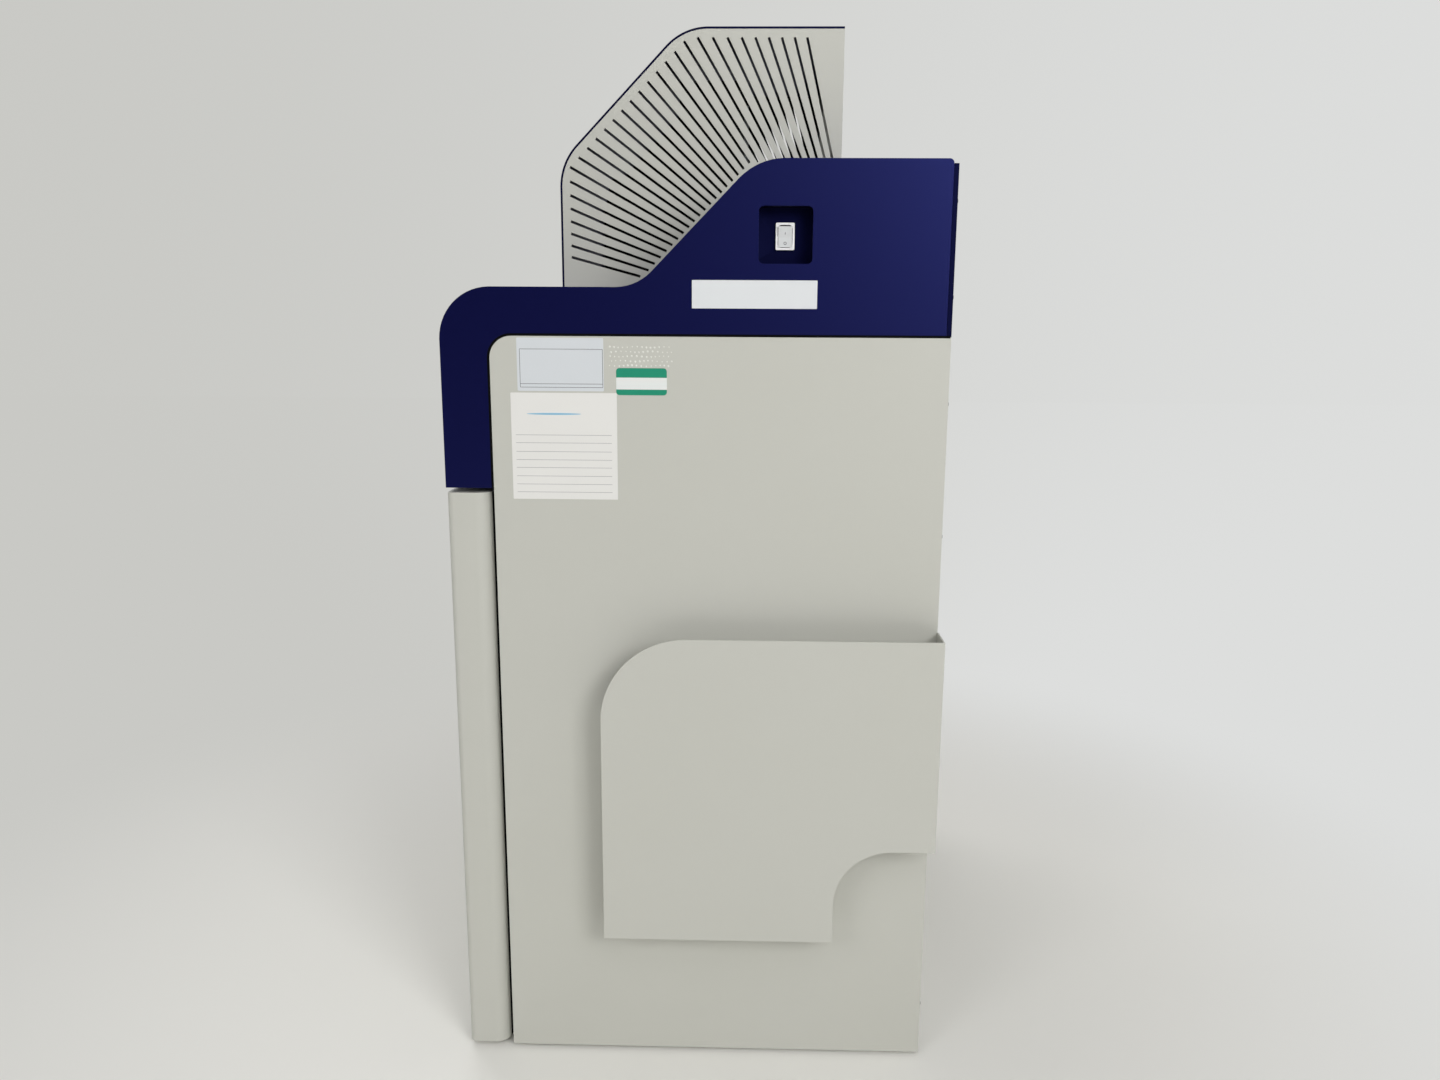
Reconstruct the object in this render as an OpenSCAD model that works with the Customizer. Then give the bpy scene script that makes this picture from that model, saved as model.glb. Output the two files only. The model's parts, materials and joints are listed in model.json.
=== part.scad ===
// Gel documentation cabinet: a light-tight chamber with a camera hood on top.
// The door faces -Y, +X is the side with the power switch, and Z = 0 is the bench.
// The modules draw the cabinet centred on X = 0, and place() moves it to the origin.

/* [Cabinet] */
// Depth from the face of the door to the rear of the side panels
body_d = 401; // [395:1:440]
// Height of the feet under the panels
foot_h = 4; // [3:0.5:12]
// Diameter of a foot
foot_d = 32; // [20:1:50]
// Distance from the cabinet's edges to a foot's centre
foot_inset = 50; // [30:1:80]
// Height of the side panels
panel_h = 625.5; // [615:0.5:680]
// Sheet thickness of the side panels
panel_t = 1.5; // [1:0.1:2.5]
// Width of the folded edges of the side panels
panel_fold = 16; // [12:1:20]
// Radius of the side panels' upper front corner
panel_corner_r = 17.5; // [8:0.5:25]
// Depth in front of the side panels, taken by door and seal
front_d = 39.2; // [38:0.1:50]
// Thickness of the base plate
base_t = 6; // [3:0.5:10]
// Thickness of the rear panel
rear_t = 1.7; // [1:0.1:3]
// Visible seam between covers and panels
seam = 0.8; // [0.3:0.1:2]

/* [Door] */
// Thickness of the door
door_t = 36; // [30:0.5:37]
// Wall of the door's shell
door_wall = 2.5; // [1.5:0.1:4]
// Radius of the door's front edges
door_edge_r = 6; // [3:0.5:12]
// Radius of the door's rear edges, which form the finger grip
door_grip_r = 14; // [12:0.5:16]
// Gap between the door and the top cover
door_top_gap = 4; // [2:0.5:8]
// How far the door stops above the lower edge of the panels
door_bottom_gap = 1; // [0.5:0.5:6]
// Outer radius of a hinge barrel
hinge_r = 3.2; // [2.6:0.1:3.4]
// Radius of a hinge pin
hinge_pin_r = 1.6; // [1:0.1:2]
// Length of a hinge
hinge_l = 60; // [40:5:80]
// Thickness of a hinge leaf
hinge_leaf_t = 1.4; // [0.8:0.1:1.5]

/* [Chamber] */
// Width of the door opening
opening_w = 430; // [390:5:490]
// Width of the cabinet on each side of the door opening
jamb_w = 35; // [32:1:45]
// Height of the floor above the base plate
floor_rise = 18; // [12:1:30]
// Thickness of the chamber's sheets
liner_t = 2; // [1:0.5:3]
// Depth of the bay behind the chamber
rear_bay_d = 50; // [45:1:60]
// Thickness of the chamber's top plate
ceiling_t = 4; // [2:0.5:6]
// Diameter of the lens opening
lens_hole_d = 84; // [60:1:86]
// Height of the front frame's edge over the opening
lintel_h = 14; // [8:1:30]

/* [Top cover] */
// Wall of the top cover
cover_wall = 3; // [2:0.1:4]
// Height of the front deck above the panels
deck_rise = 37.7; // [30:0.1:60]
// Height of the raised rear part above the deck
hump_rise = 95.8; // [80:0.1:120]
// How far the front leg reaches below the top of the panels
leg_drop = 121; // [100:0.5:130]
// Distance from the front to the foot of the slope
slope_start = 155.9; // [140:0.1:170]
// Angle of the slope
slope_angle = 45.8; // [40:0.1:50]
// Radius of the cover's front edge
cover_front_r = 41; // [20:0.5:50]
// Radius at the foot of the slope
slope_foot_r = 40; // [20:1:60]
// Radius at the top of the slope
slope_crest_r = 50; // [20:1:60]
// Radius of the upper rear edge
cover_rear_r = 3.5; // [1:0.5:8]
// Thickness of the upper rear cover
rear_cover_t = 3.5; // [2:0.5:6]

/* [Hood] */
// Width of the camera hood
hood_w = 280; // [270:2:320]
// Depth of the camera hood
hood_d = 241; // [230:1:260]
// Distance from the rear of the cabinet to the hood
hood_setback = 80; // [70:1:90]
// Height of the hood above the top cover
hood_rise = 120; // [110:1:140]
// Height of the chamfer below the hood's top
hood_chamfer = 109; // [90:1:112]
// Radius of the hood's corners
hood_corner_r = 50; // [20:1:60]
// Sheet thickness of the hood
hood_t = 1.8; // [1:0.1:3]
// How far the hood's rear panel lies inside its edge
hood_rear_inset = 2; // [0:0.5:6]

/* [Hood slots] */
// Number of slots in each side of the hood
slot_count = 30; // [10:1:30]
// Width of a slot
slot_w = 2.2; // [1.5:0.1:3]
// Distance from the hood's outline to the slots
slot_margin = 8.5; // [6:0.5:16]
// Distance from the top cover to the slots
slot_foot_margin = 12.4; // [8:0.1:20]
// Distance of the slots' common centre behind the hood
slots_behind = 28.9; // [20:0.1:40]
// Distance of the slots' common centre below the hood's top
slots_below = 257.8; // [250:0.1:265]
// Angle of the lowest slot above the horizontal
slots_first = 15.1; // [14:0.1:18]
// Angle between the two lowest slots
slots_pitch = 1.97; // [1.8:0.01:2]
// Growth of that angle from slot to slot
slots_growth = 0.0104; // [0:0.0004:0.012]

/* [Side pocket] */
// Width of the pocket
pocket_w = 276; // [240:1:300]
// Height of the pocket
pocket_h = 264; // [220:1:300]
// Depth of the pocket
pocket_d = 30; // [20:1:45]
// Height of the pocket above the lower edge of the panel
pocket_lift = 124; // [60:1:140]
// Radius of the pocket's upper front corner
pocket_r = 70; // [30:1:90]
// Width of the notch in its lower rear corner
notch_w = 83; // [70:1:130]
// Height of the notch
notch_h = 83; // [70:1:100]
// Radius of the notch
notch_r = 47.5; // [20:0.5:60]
// Sheet thickness of the pocket
pocket_t = 1.5; // [1:0.1:2.5]
// How far the pocket passes the rear of the panel
pocket_over = 1.2; // [0:0.1:3]

/* [Power switch] */
// Width of the switch recess
recess_w = 41.5; // [34:0.5:50]
// Height of the switch recess
recess_h = 43; // [36:0.5:50]
// Depth of the switch recess
recess_d = 16.5; // [10:0.5:24]
// Corner radius of the recess
recess_r = 4; // [2:0.5:6]
// Distance from the rear of the cabinet to the recess's centre
recess_from_rear = 130; // [120:1:140]
// Distance from the top of the cover to the recess's centre
recess_from_top = 56.3; // [45:0.1:60]
// Width of the switch's bezel
bezel_w = 15; // [14:0.5:18]
// Height of the switch's bezel
bezel_h = 21; // [20:0.5:24]
// Thickness of the bezel
bezel_t = 1.8; // [1:0.1:3]

/* [Optics] */
// Depth position of the optical axis
axis_y = 6.5; // [0:0.5:12]
// Width of the camera
camera_w = 76; // [60:1:90]
// Depth of the camera
camera_d = 61; // [56:1:62]
// Height of the camera
camera_h = 188; // [150:1:194]
// How far the camera's cooler reaches in front of it
cooler_reach = 68; // [40:1:74]
// Height of the cooler
cooler_h = 88; // [60:1:96]
// Diameter of the lens
lens_d = 60; // [50:1:64]
// Length of the lens
lens_l = 145; // [130:1:150]
// Height of the lens above the chamber's top plate
lens_lift = 30; // [28:1:40]
// Radius of the circle of filters
wheel_pitch_r = 58; // [56:1:62]
// Diameter of a filter
filter_d = 46; // [36:1:50]
// Number of filter places
filter_count = 5; // [3:1:5]
// Thickness of the filter wheel
wheel_t = 6; // [4:0.5:8]

/* [Sample table] */
// Width of the pull-out tray over its runners
tray_w = 352; // [340:2:360]
// Depth of the tray
tray_d = 255; // [240:1:258]
// Height of the runners
runner_h = 32; // [26:1:40]
// Height of the ultraviolet light table
table_h = 85; // [70:1:95]
// Gap between the light table and the sides of the tray
table_side_gap = 19.4; // [10:0.1:30]
// Gap between the light table and the tray's front and rear
table_end_gap = 7.5; // [4:0.5:12]
// Height of the platform above the chamber's floor
platform_lift = 147; // [140:1:170]
// Gap between the platform's sides and the rails on the chamber's walls
platform_gap = 8; // [4:1:20]
// Depth of the platform
platform_d = 250; // [240:1:260]
// Thickness of the platform
platform_t = 4; // [3:0.5:8]

/* [Controls] */
// Width of the control panel's window
control_w = 190; // [180:1:220]
// Height of the control panel's window
control_h = 56; // [48:1:64]
// Distance from the deck to the middle of the control panel
control_drop = 96; // [80:1:110]
// Diameter of a push button
button_d = 14; // [10:0.5:18]
// Distance between push buttons
button_pitch = 40; // [30:1:42]
// Travel of a push button
button_travel = 2; // [1:0.1:2.2]

/* [Rear] */
// Height of the cooling fan above the lower edge of the panels
fan_lift = 420; // [380:5:500]
// Distance from the middle of the cabinet to the fan's centre
fan_x = 120; // [100:5:140]
// Height of the mains inlet above the lower edge of the panels
inlet_lift = 60; // [45:1:90]
// Size of the cooling fan
fan_size = 80; // [70:1:90]
// Depth of the cooling fan
fan_t = 25; // [20:1:30]
// Number of fan blades
blade_count = 7; // [5:1:9]

/* [Hidden] */

$fn = 48;
eps = 0.5;
hair = 0.01;
fit = 0.3;
run_fit = 0.06;

beige = [0.76, 0.76, 0.72];
navy = [0.06, 0.06, 0.26];
black = [0.08, 0.08, 0.09];
zinc = [0.7, 0.71, 0.73];
white = [0.93, 0.93, 0.92];

body_w = opening_w + 2 * jamb_w;
half_w = body_w / 2;
front_y = -body_d / 2;
rear_y = body_d / 2;
panel_y = front_y + front_d;
panel_z = foot_h;
panel_top = panel_z + panel_h;
sheet_y = panel_y + panel_t;
inner_x = half_w - panel_t;
base_top = panel_z + panel_t + base_t;
rear_sheet_y = rear_y - panel_t - rear_t;

deck_z = panel_top + deck_rise;
top_z = deck_z + hump_rise;
leg_z = panel_top - leg_drop;
foot_y = front_y + slope_start;
crest_y = foot_y + hump_rise / tan(slope_angle);
cover_rear_y = rear_y - rear_cover_t - fit;

door_z = panel_z + door_bottom_gap;
door_top = leg_z - door_top_gap;
door_h = door_top - door_z;
door_back_y = front_y + door_t;

frame_t = 3;
opening_lip = 7;
frame_back_y = sheet_y + frame_t;
floor_z = base_top + floor_rise;
ceiling_z = door_top - lintel_h + frame_t + fit;
opening_top = door_top - lintel_h;
chamber_x = opening_w / 2 + opening_lip;
chamber_back_y = rear_sheet_y - rear_bay_d;

hood_y1 = rear_y - hood_setback;
hood_y0 = hood_y1 - hood_d;
hood_top = top_z + hood_rise;
chamfer_z = hood_top - hood_chamfer;
chamfer_y = hood_y0 + hood_chamfer / tan(slope_angle);
slots_y = hood_y1 + slots_behind;
slots_z = hood_top - slots_below;

recess_y = rear_y - recess_from_rear;
recess_z = top_z - recess_from_top;
recess_floor_x = half_w - recess_d;

// Helpers ----------------------------------------------------------------

// A flat shape drawn in Y and Z, extruded along X
module along_x(x, t) {
    translate([x, 0, 0]) rotate([90, 0, 90]) linear_extrude(t) children();
}

// A flat shape drawn in X and Z, extruded along Y
module along_y(y, t) {
    translate([0, y + t, 0]) rotate([90, 0, 0]) linear_extrude(t) children();
}

// A flat shape drawn in X and Y, extruded upwards
module upwards(z, t) {
    translate([0, 0, z]) linear_extrude(t) children();
}

function dir(a) = [cos(a), sin(a)];

// The sliver between a corner and the arc that rounds it; a1 and a2 are its sides' directions,
// deep is how far it runs past the corner, and the arc crosses its sides by a hair
module corner_sliver(p, a1, a2, r, deep = eps) {
    half = acos(dir(a1) * dir(a2)) / 2;
    mid = (dir(a1) + dir(a2)) / norm(dir(a1) + dir(a2));
    c = p + mid * r / sin(half);
    difference() {
        polygon([p - mid * deep, p + dir(a1) * r / tan(half), c, p + dir(a2) * r / tan(half)]);
        translate(c) circle(r + hair);
    }
}

module round_rect(w, h, r) {
    square([w, h - 2 * r], center = true);
    square([w - 2 * r, h], center = true);
    for (x = [-1, 1], y = [-1, 1])
        translate([x * (w / 2 - r), y * (h / 2 - r)]) circle(r);
}

module both_sides() {
    children();
    mirror([1, 0, 0]) children();
}

module rod_y(p, r, l) {
    translate(p) rotate([-90, 0, 0]) cylinder(r = r, h = l);
}

module rod_x(p, r, l) {
    translate(p) rotate([0, 90, 0]) cylinder(r = r, h = l);
}

module pan_screw_y(p, shank_l) {
    rod_y([p[0], p[1] - shank_l, p[2]], screw_r, shank_l + eps);
    difference() {
        intersection() {
            rod_y(p, screw_head_r, screw_head_h);
            translate([p[0], p[1] + screw_head_h - screw_dome_r, p[2]]) sphere(screw_dome_r);
        }
        for (a = [0, 90]) translate([p[0], p[1] + screw_head_h, p[2]]) rotate([0, a, 0])
            cube([screw_cross_l, screw_cross_d, screw_cross_w], center = true);
    }
}

// Fasteners: M3 machine screws with domed heads
screw_r = 1.5;
screw_hole_r = 1.7;
screw_head_r = 3;
screw_head_h = 1.8;
screw_dome_r = 4.5;
screw_cross_l = 3.6;
screw_cross_w = 0.8;
screw_cross_d = 1.6;
screw_reach = 4;

// Profiles ---------------------------------------------------------------

// Outline of a side panel, drawn t inside its edge
module panel_outline(t) {
    difference() {
        translate([panel_y + t, panel_z + t])
            square([rear_y - panel_y - 2 * t, panel_h - 2 * t]);
        corner_sliver([panel_y + t, panel_top - t], 0, -90, panel_corner_r - t);
    }
}

// Side profile of the top cover, drawn t inside its skin
module cover_outline(t, bottom, rear) {
    shift = t * tan(slope_angle / 2);
    foot = [foot_y + shift, deck_z - t];
    crest = [crest_y + shift, top_z - t];
    difference() {
        union() {
            polygon([[front_y + t, bottom], [front_y + t, deck_z - t], foot, crest,
                [rear, top_z - t], [rear, bottom]]);
            corner_sliver(foot, 180, slope_angle, slope_foot_r + t, slope_foot_r / 4);
        }
        corner_sliver([front_y + t, deck_z - t], 0, -90, cover_front_r - t);
        corner_sliver(crest, 0, 180 + slope_angle, slope_crest_r - t);
    }
}

// Side profile of the hood, drawn t inside its skin
module hood_outline(t) {
    low = [hood_y0 + t, chamfer_z - t * (1 - sin(slope_angle)) / cos(slope_angle)];
    high = [chamfer_y + t * tan(slope_angle / 2), hood_top - t];
    difference() {
        polygon([[hood_y0 + t, deck_z], low, high, [hood_y1, hood_top - t], [hood_y1, deck_z]]);
        corner_sliver(low, -90, slope_angle, hood_corner_r - t);
        corner_sliver(high, 0, 180 + slope_angle, hood_corner_r - t);
    }
}

// Base -------------------------------------------------------------------

foot_x = half_w - foot_inset;
foot_offset_y = (rear_y - panel_y) / 2 - foot_inset;
foot_mid_y = (rear_y + panel_y) / 2;
foot_recess_r = 5;
foot_recess_h = 2;

module at_feet() {
    for (x = [-foot_x, foot_x], y = [foot_mid_y - foot_offset_y, foot_mid_y + foot_offset_y])
        translate([x, y, 0]) children();
}

module base_plate() {
    color(zinc) difference() {
        translate([-inner_x, sheet_y, panel_z + panel_t])
            cube([2 * inner_x, rear_sheet_y - sheet_y, base_t]);
        at_feet() cylinder(r = screw_hole_r, h = base_top + eps);
    }
}

module rubber_feet() {
    color(black) at_feet() difference() {
        union() {
            cylinder(r = foot_d / 2, h = foot_h);
            cylinder(r = foot_d / 2 - 3, h = panel_z + panel_t);
        }
        translate([0, 0, -eps]) cylinder(r = foot_recess_r, h = foot_recess_h + eps);
        cylinder(r = screw_hole_r, h = base_top);
    }
}

module foot_screws() {
    color(zinc) at_feet() translate([0, 0, foot_recess_h]) {
        translate([0, 0, -1.5]) cylinder(r = screw_head_r + 1, h = 1.5);
        cylinder(r = screw_r, h = base_top - foot_recess_h);
    }
}

// Cabinet shell ----------------------------------------------------------

rear_screw_x = half_w - panel_fold / 2;
rear_screw_rises = [43.6, 326];
rear_screw_drops = [158.5, 51.5];
rear_screw_zs = [for (h = rear_screw_rises) panel_z + h, for (h = rear_screw_drops) panel_top - h];

module at_rear_screws() {
    for (z = rear_screw_zs, s = [-1, 1])
        translate([s * rear_screw_x, 0, z]) children();
}

module side_panel() {
    difference() {
        along_x(half_w - panel_fold, panel_fold) panel_outline(0);
        along_x(half_w - panel_fold - eps, panel_fold - panel_t + eps) panel_outline(panel_t);
        at_rear_screws() rod_y([0, rear_y - 2 * panel_t, 0], screw_hole_r, 3 * panel_t);
    }
}

module right_side_panel() {
    color(beige) side_panel();
}

module left_side_panel() {
    color(beige) mirror([1, 0, 0]) side_panel();
}

fan_z = panel_z + fan_lift;
fan_screw_inset = 4.3;
fan_screw_x = fan_size / 2 - fan_screw_inset;
fan_bore_r = fan_size / 2 - 2.5;
fan_hole_r = fan_bore_r - 0.5;
inlet_x = -130;
inlet_z = panel_z + inlet_lift;
inlet_w = 28;
inlet_h = 48;

module at_fan_screws() {
    for (x = [-1, 1], z = [-1, 1])
        translate([fan_x + x * fan_screw_x, 0, fan_z + z * fan_screw_x]) children();
}

module rear_panel() {
    color(beige) difference() {
        along_y(rear_sheet_y, rear_t) difference() {
            translate([-inner_x, panel_z + panel_t])
                square([2 * inner_x, panel_h - 2 * panel_t]);
            translate([fan_x, fan_z]) circle(fan_hole_r);
            translate([inlet_x, inlet_z]) square([inlet_w, inlet_h], center = true);
        }
        at_fan_screws() rod_y([0, rear_sheet_y - eps, 0], screw_hole_r, rear_t + 2 * eps);
        at_rear_screws() rod_y([0, rear_sheet_y - eps, 0], screw_hole_r, rear_t + 2 * eps);
    }
}

module rear_panel_screws() {
    color(zinc) {
        at_rear_screws() pan_screw_y([0, rear_y, 0], panel_t + rear_t + screw_reach);
        at_fan_screws() pan_screw_y([0, rear_sheet_y + rear_t, 0], rear_t + screw_reach);
    }
}

// Chamber ----------------------------------------------------------------

module front_frame() {
    color(black) along_y(sheet_y, frame_t) difference() {
        translate([-inner_x, base_top])
            square([2 * inner_x, panel_top - panel_corner_r - base_top]);
        opening_outline(0);
    }
}

seal_w = 5;
seal_inset = 1;
seal_t = sheet_y - door_back_y - fit;

// The door opening, m wider on every side
module opening_outline(m) {
    translate([-opening_w / 2 - m, floor_z - m])
        square([opening_w + 2 * m, opening_top - floor_z + 2 * m]);
}

module door_seal() {
    color([0.14, 0.14, 0.15]) along_y(door_back_y + fit, seal_t) difference() {
        opening_outline(seal_inset + seal_w);
        opening_outline(seal_inset);
    }
}

floor_bar_w = 10;
floor_bar_inset = 15;

// The chamber's floor on two bars
module chamber_floor() {
    color(black) {
        translate([-chamber_x, frame_back_y, floor_z - liner_t])
            cube([2 * chamber_x, chamber_back_y - frame_back_y, liner_t]);
        both_sides() translate([chamber_x - floor_bar_inset - floor_bar_w, frame_back_y, base_top])
            cube([floor_bar_w, chamber_back_y - frame_back_y, floor_rise - liner_t]);
    }
}

rail_w = 14;
rail_d = 10;
rail_slot_w = 6;
rail_slot_d = 7;
rail_h = 200;
rail_foot = 10;
rail_z = floor_z + platform_lift - rail_foot;
rail_inset = 34;
platform_w = 2 * (chamber_x - rail_d - platform_gap);
platform_y0 = (frame_back_y + chamber_back_y - platform_d) / 2;
rail_y0 = platform_y0 + rail_inset;
rail_y1 = platform_y0 + platform_d - rail_inset;

module chamber_wall() {
    translate([chamber_x, frame_back_y, base_top])
        cube([liner_t, chamber_back_y - frame_back_y, ceiling_z - base_top]);
    for (y = [rail_y0, rail_y1]) translate([chamber_x - rail_d, y - rail_w / 2, rail_z]) difference() {
        cube([rail_d, rail_w, rail_h]);
        translate([-eps, (rail_w - rail_slot_w) / 2, -eps])
            cube([rail_slot_d + eps, rail_slot_w, rail_h + 2 * eps]);
    }
}

module chamber_right_wall() {
    color(black) chamber_wall();
}

module chamber_left_wall() {
    color(black) mirror([1, 0, 0]) chamber_wall();
}

module chamber_back_wall() {
    color(black) translate([-chamber_x - liner_t, chamber_back_y, base_top])
        cube([2 * (chamber_x + liner_t), liner_t, ceiling_z - base_top]);
}

module chamber_ceiling() {
    color(black) difference() {
        translate([-chamber_x - liner_t, frame_back_y, ceiling_z])
            cube([2 * (chamber_x + liner_t), chamber_back_y + liner_t - frame_back_y, ceiling_t]);
        translate([0, axis_y, ceiling_z - eps]) cylinder(r = lens_hole_d / 2, h = ceiling_t + 2 * eps);
    }
}

lamp_w = 46;
lamp_h = 30;
lamp_l = 230;
lamp_gap = 12;
lamp_x = chamber_x - rail_d - lamp_w / 2 - lamp_gap;
lamp_y = frame_back_y + 30;
lamp_wall = 3;
lamp_tube_r = 8;

// White lamps under the ceiling, each a trough with a tube and its end sockets
module overhead_lamps() {
    color(white) both_sides() translate([lamp_x - lamp_w / 2, lamp_y, ceiling_z - lamp_h]) {
        difference() {
            cube([lamp_w, lamp_l, lamp_h]);
            translate([lamp_wall, lamp_wall, -eps])
                cube([lamp_w - 2 * lamp_wall, lamp_l - 2 * lamp_wall, lamp_h - lamp_wall + eps]);
        }
        rod_y([lamp_w / 2, lamp_wall - eps, lamp_h / 2 - 2], lamp_tube_r, lamp_l - 2 * lamp_wall + 2 * eps);
    }
}

// Door -------------------------------------------------------------------

// Plan of the door, drawn t inside its skin
module door_plan(t) {
    x = half_w - t;
    front = front_y + t;
    back = door_back_y - t;
    difference() {
        polygon([[-x, front], [x, front], [x, back], [-x, back]]);
        corner_sliver([-x, front], 0, 90, door_edge_r - t);
        corner_sliver([x, front], 180, 90, door_edge_r - t);
        corner_sliver([x, back], 180, -90, door_grip_r - t);
        corner_sliver([-x, back], 0, -90, door_grip_r - t);
    }
}

liner_x = half_w - door_grip_r;

module door_shell() {
    color(beige) difference() {
        upwards(door_z, door_h) door_plan(0);
        upwards(door_z + door_wall, door_h - 2 * door_wall) door_plan(door_wall);
        translate([-liner_x, door_back_y - door_wall - eps, door_z + door_wall])
            cube([2 * liner_x, door_wall + 2 * eps, door_h - 2 * door_wall]);
    }
}

module door_liner() {
    color(black) translate([-liner_x, door_back_y - door_wall, door_z + door_wall])
        cube([2 * liner_x, door_wall, door_h - 2 * door_wall]);
}

hinge_x = -half_w + hinge_r + fit;
hinge_y = panel_y - hinge_r;
hinge_inset = 80;
hinge_zs = [door_z + hinge_inset, door_top - hinge_inset - hinge_l];
leaf_w = 20;
knuckle_count = 5;
knuckle_l = hinge_l / knuckle_count;
knuckle_gap = 0.15;

// The knuckles with numbers from first in steps of two
module knuckles(first) {
    for (i = [first:2:knuckle_count - 1])
        translate([hinge_x, hinge_y, i * knuckle_l + knuckle_gap])
            cylinder(r = hinge_r, h = knuckle_l - 2 * knuckle_gap);
}

// A leaf between y0 and y1, with tabs that reach into the barrel
module leaf(y0, y1, first) {
    tab_y1 = max(y1, hinge_y);
    translate([hinge_x + hinge_r + fit, y0, 0]) cube([leaf_w, y1 - y0, hinge_l]);
    knuckles(first);
    for (i = [first:2:knuckle_count - 1])
        translate([hinge_x, y0, i * knuckle_l + knuckle_gap])
            cube([hinge_r + fit + eps, tab_y1 - y0, knuckle_l - 2 * knuckle_gap]);
}

module at_hinges() {
    for (z = hinge_zs) translate([0, 0, z]) children();
}

module hinge_bore() {
    translate([hinge_x, hinge_y, -eps]) cylinder(r = hinge_pin_r + run_fit, h = hinge_l + 2 * eps);
}

module hinge_frame_leaves() {
    color(zinc) at_hinges() difference() {
        leaf(panel_y - hinge_leaf_t, panel_y, 0);
        hinge_bore();
    }
}

module hinge_door_leaves() {
    color(zinc) at_hinges() difference() {
        leaf(door_back_y, door_back_y + hinge_leaf_t, 1);
        hinge_bore();
    }
}

module hinge_pins() {
    color(zinc) at_hinges() {
        translate([hinge_x, hinge_y, 0]) cylinder(r = hinge_pin_r, h = hinge_l);
        translate([hinge_x, hinge_y, hinge_l]) cylinder(r = hinge_r - 0.4, h = 1.2);
    }
}

magnet_w = 7;
magnet_h = 34;
magnet_t = 2.6;
magnet_inset = 110;
striker_t = 0.8;
magnet_x = opening_w / 2 + seal_inset + seal_w + 2;
magnet_zs = [door_z + magnet_inset, door_top - magnet_inset - magnet_h];

module door_magnets() {
    color(black) for (z = magnet_zs)
        translate([magnet_x, sheet_y - magnet_t, z]) cube([magnet_w, magnet_t, magnet_h]);
}

module door_strikers() {
    color(zinc) for (z = magnet_zs)
        translate([magnet_x, door_back_y, z]) cube([magnet_w, striker_t, magnet_h]);
}

// Top cover --------------------------------------------------------------

hatch_side_margin = 14;
hatch_front_margin = 20;
hatch_rear_margin = 16;
hatch_x = hood_w / 2 - hatch_side_margin;
hatch_y0 = hood_y0 + hatch_front_margin;
hatch_y1 = hood_y1 - hatch_rear_margin;
control_z = deck_z - control_drop;
cover_screw_inset = 8;
cover_screw_drops = [102.2, 30.2];
cover_screw_x = half_w - cover_screw_inset;
cover_screw_zs = [for (h = cover_screw_drops) top_z - h];
lug_w = 9;
lug_d = 12;

module at_cover_screws() {
    for (z = cover_screw_zs, s = [-1, 1])
        translate([s * cover_screw_x, 0, z]) children();
}

module switch_cutout(x, t) {
    along_x(x, t) translate([recess_y, recess_z]) square([bezel_w - 2, bezel_h - 2], center = true);
}

module cover_skin() {
    difference() {
        along_x(-half_w, body_w) difference() {
            cover_outline(0, leg_z, cover_rear_y);
            difference() {
                translate([panel_y - seam, leg_z - eps])
                    square([body_d, panel_top + seam - leg_z + eps]);
                corner_sliver([panel_y - seam, panel_top + seam], 0, -90, panel_corner_r + seam);
            }
            corner_sliver([cover_rear_y, top_z], 180, -90, cover_rear_r);
        }
        along_x(-half_w + cover_wall, body_w - 2 * cover_wall)
            cover_outline(cover_wall, leg_z + cover_wall, cover_rear_y + eps);
        translate([-hatch_x, hatch_y0, panel_top]) cube([2 * hatch_x, hatch_y1 - hatch_y0, top_z]);
        along_y(front_y - eps, cover_wall + 2 * eps) translate([0, control_z])
            round_rect(control_w, control_h, 6);
    }
}

module top_cover() {
    color(navy) difference() {
        union() {
            cover_skin();
            along_x(recess_floor_x - cover_wall, recess_d + cover_wall - eps)
                translate([recess_y, recess_z])
                    round_rect(recess_w + 2 * cover_wall, recess_h + 2 * cover_wall, recess_r + cover_wall);
            for (z = cover_screw_zs) both_sides()
                translate([cover_screw_x - lug_w / 2, cover_rear_y - lug_d, z - lug_w / 2])
                    cube([half_w - cover_wall - cover_screw_x + lug_w / 2 + eps, lug_d, lug_w]);
        }
        along_x(recess_floor_x, recess_d + eps) translate([recess_y, recess_z])
            round_rect(recess_w, recess_h, recess_r);
        switch_cutout(recess_floor_x - cover_wall - eps, cover_wall + 2 * eps);
        at_cover_screws() rod_y([0, cover_rear_y - lug_d + 2, 0], screw_r, lug_d - 2 + eps);
    }
}

vent_w = 6;
vent_h = 40;
vent_pitch = 16;
vent_rise = 50;

module rear_top_cover() {
    color(navy) difference() {
        along_y(rear_y - rear_cover_t, rear_cover_t) difference() {
            translate([-half_w, panel_top + seam]) square([body_w, top_z - panel_top - seam - cover_rear_r]);
            for (i = [-7:7]) translate([i * vent_pitch - vent_w / 2, panel_top + vent_rise])
                square([vent_w, vent_h]);
        }
        at_cover_screws() rod_y([0, rear_y - rear_cover_t - eps, 0], screw_hole_r, rear_cover_t + 2 * eps);
    }
}

module rear_cover_screws() {
    color(zinc) at_cover_screws() pan_screw_y([0, rear_y, 0], rear_cover_t + 8);
}

// Hood -------------------------------------------------------------------

module hood_wrap() {
    color(navy) along_x(-hood_w / 2, hood_w) difference() {
        hood_outline(0);
        hood_outline(hood_t);
        translate([hood_y0 + hood_t, deck_z - eps]) square([hood_d, eps + hood_t]);
        translate([hood_y1 - eps, deck_z - eps]) square([2 * eps, hood_top - deck_z - hood_t + eps]);
    }
}

function slot_angle(i) = slots_first + i * slots_pitch + i * (i - 1) / 2 * slots_growth;

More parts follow.
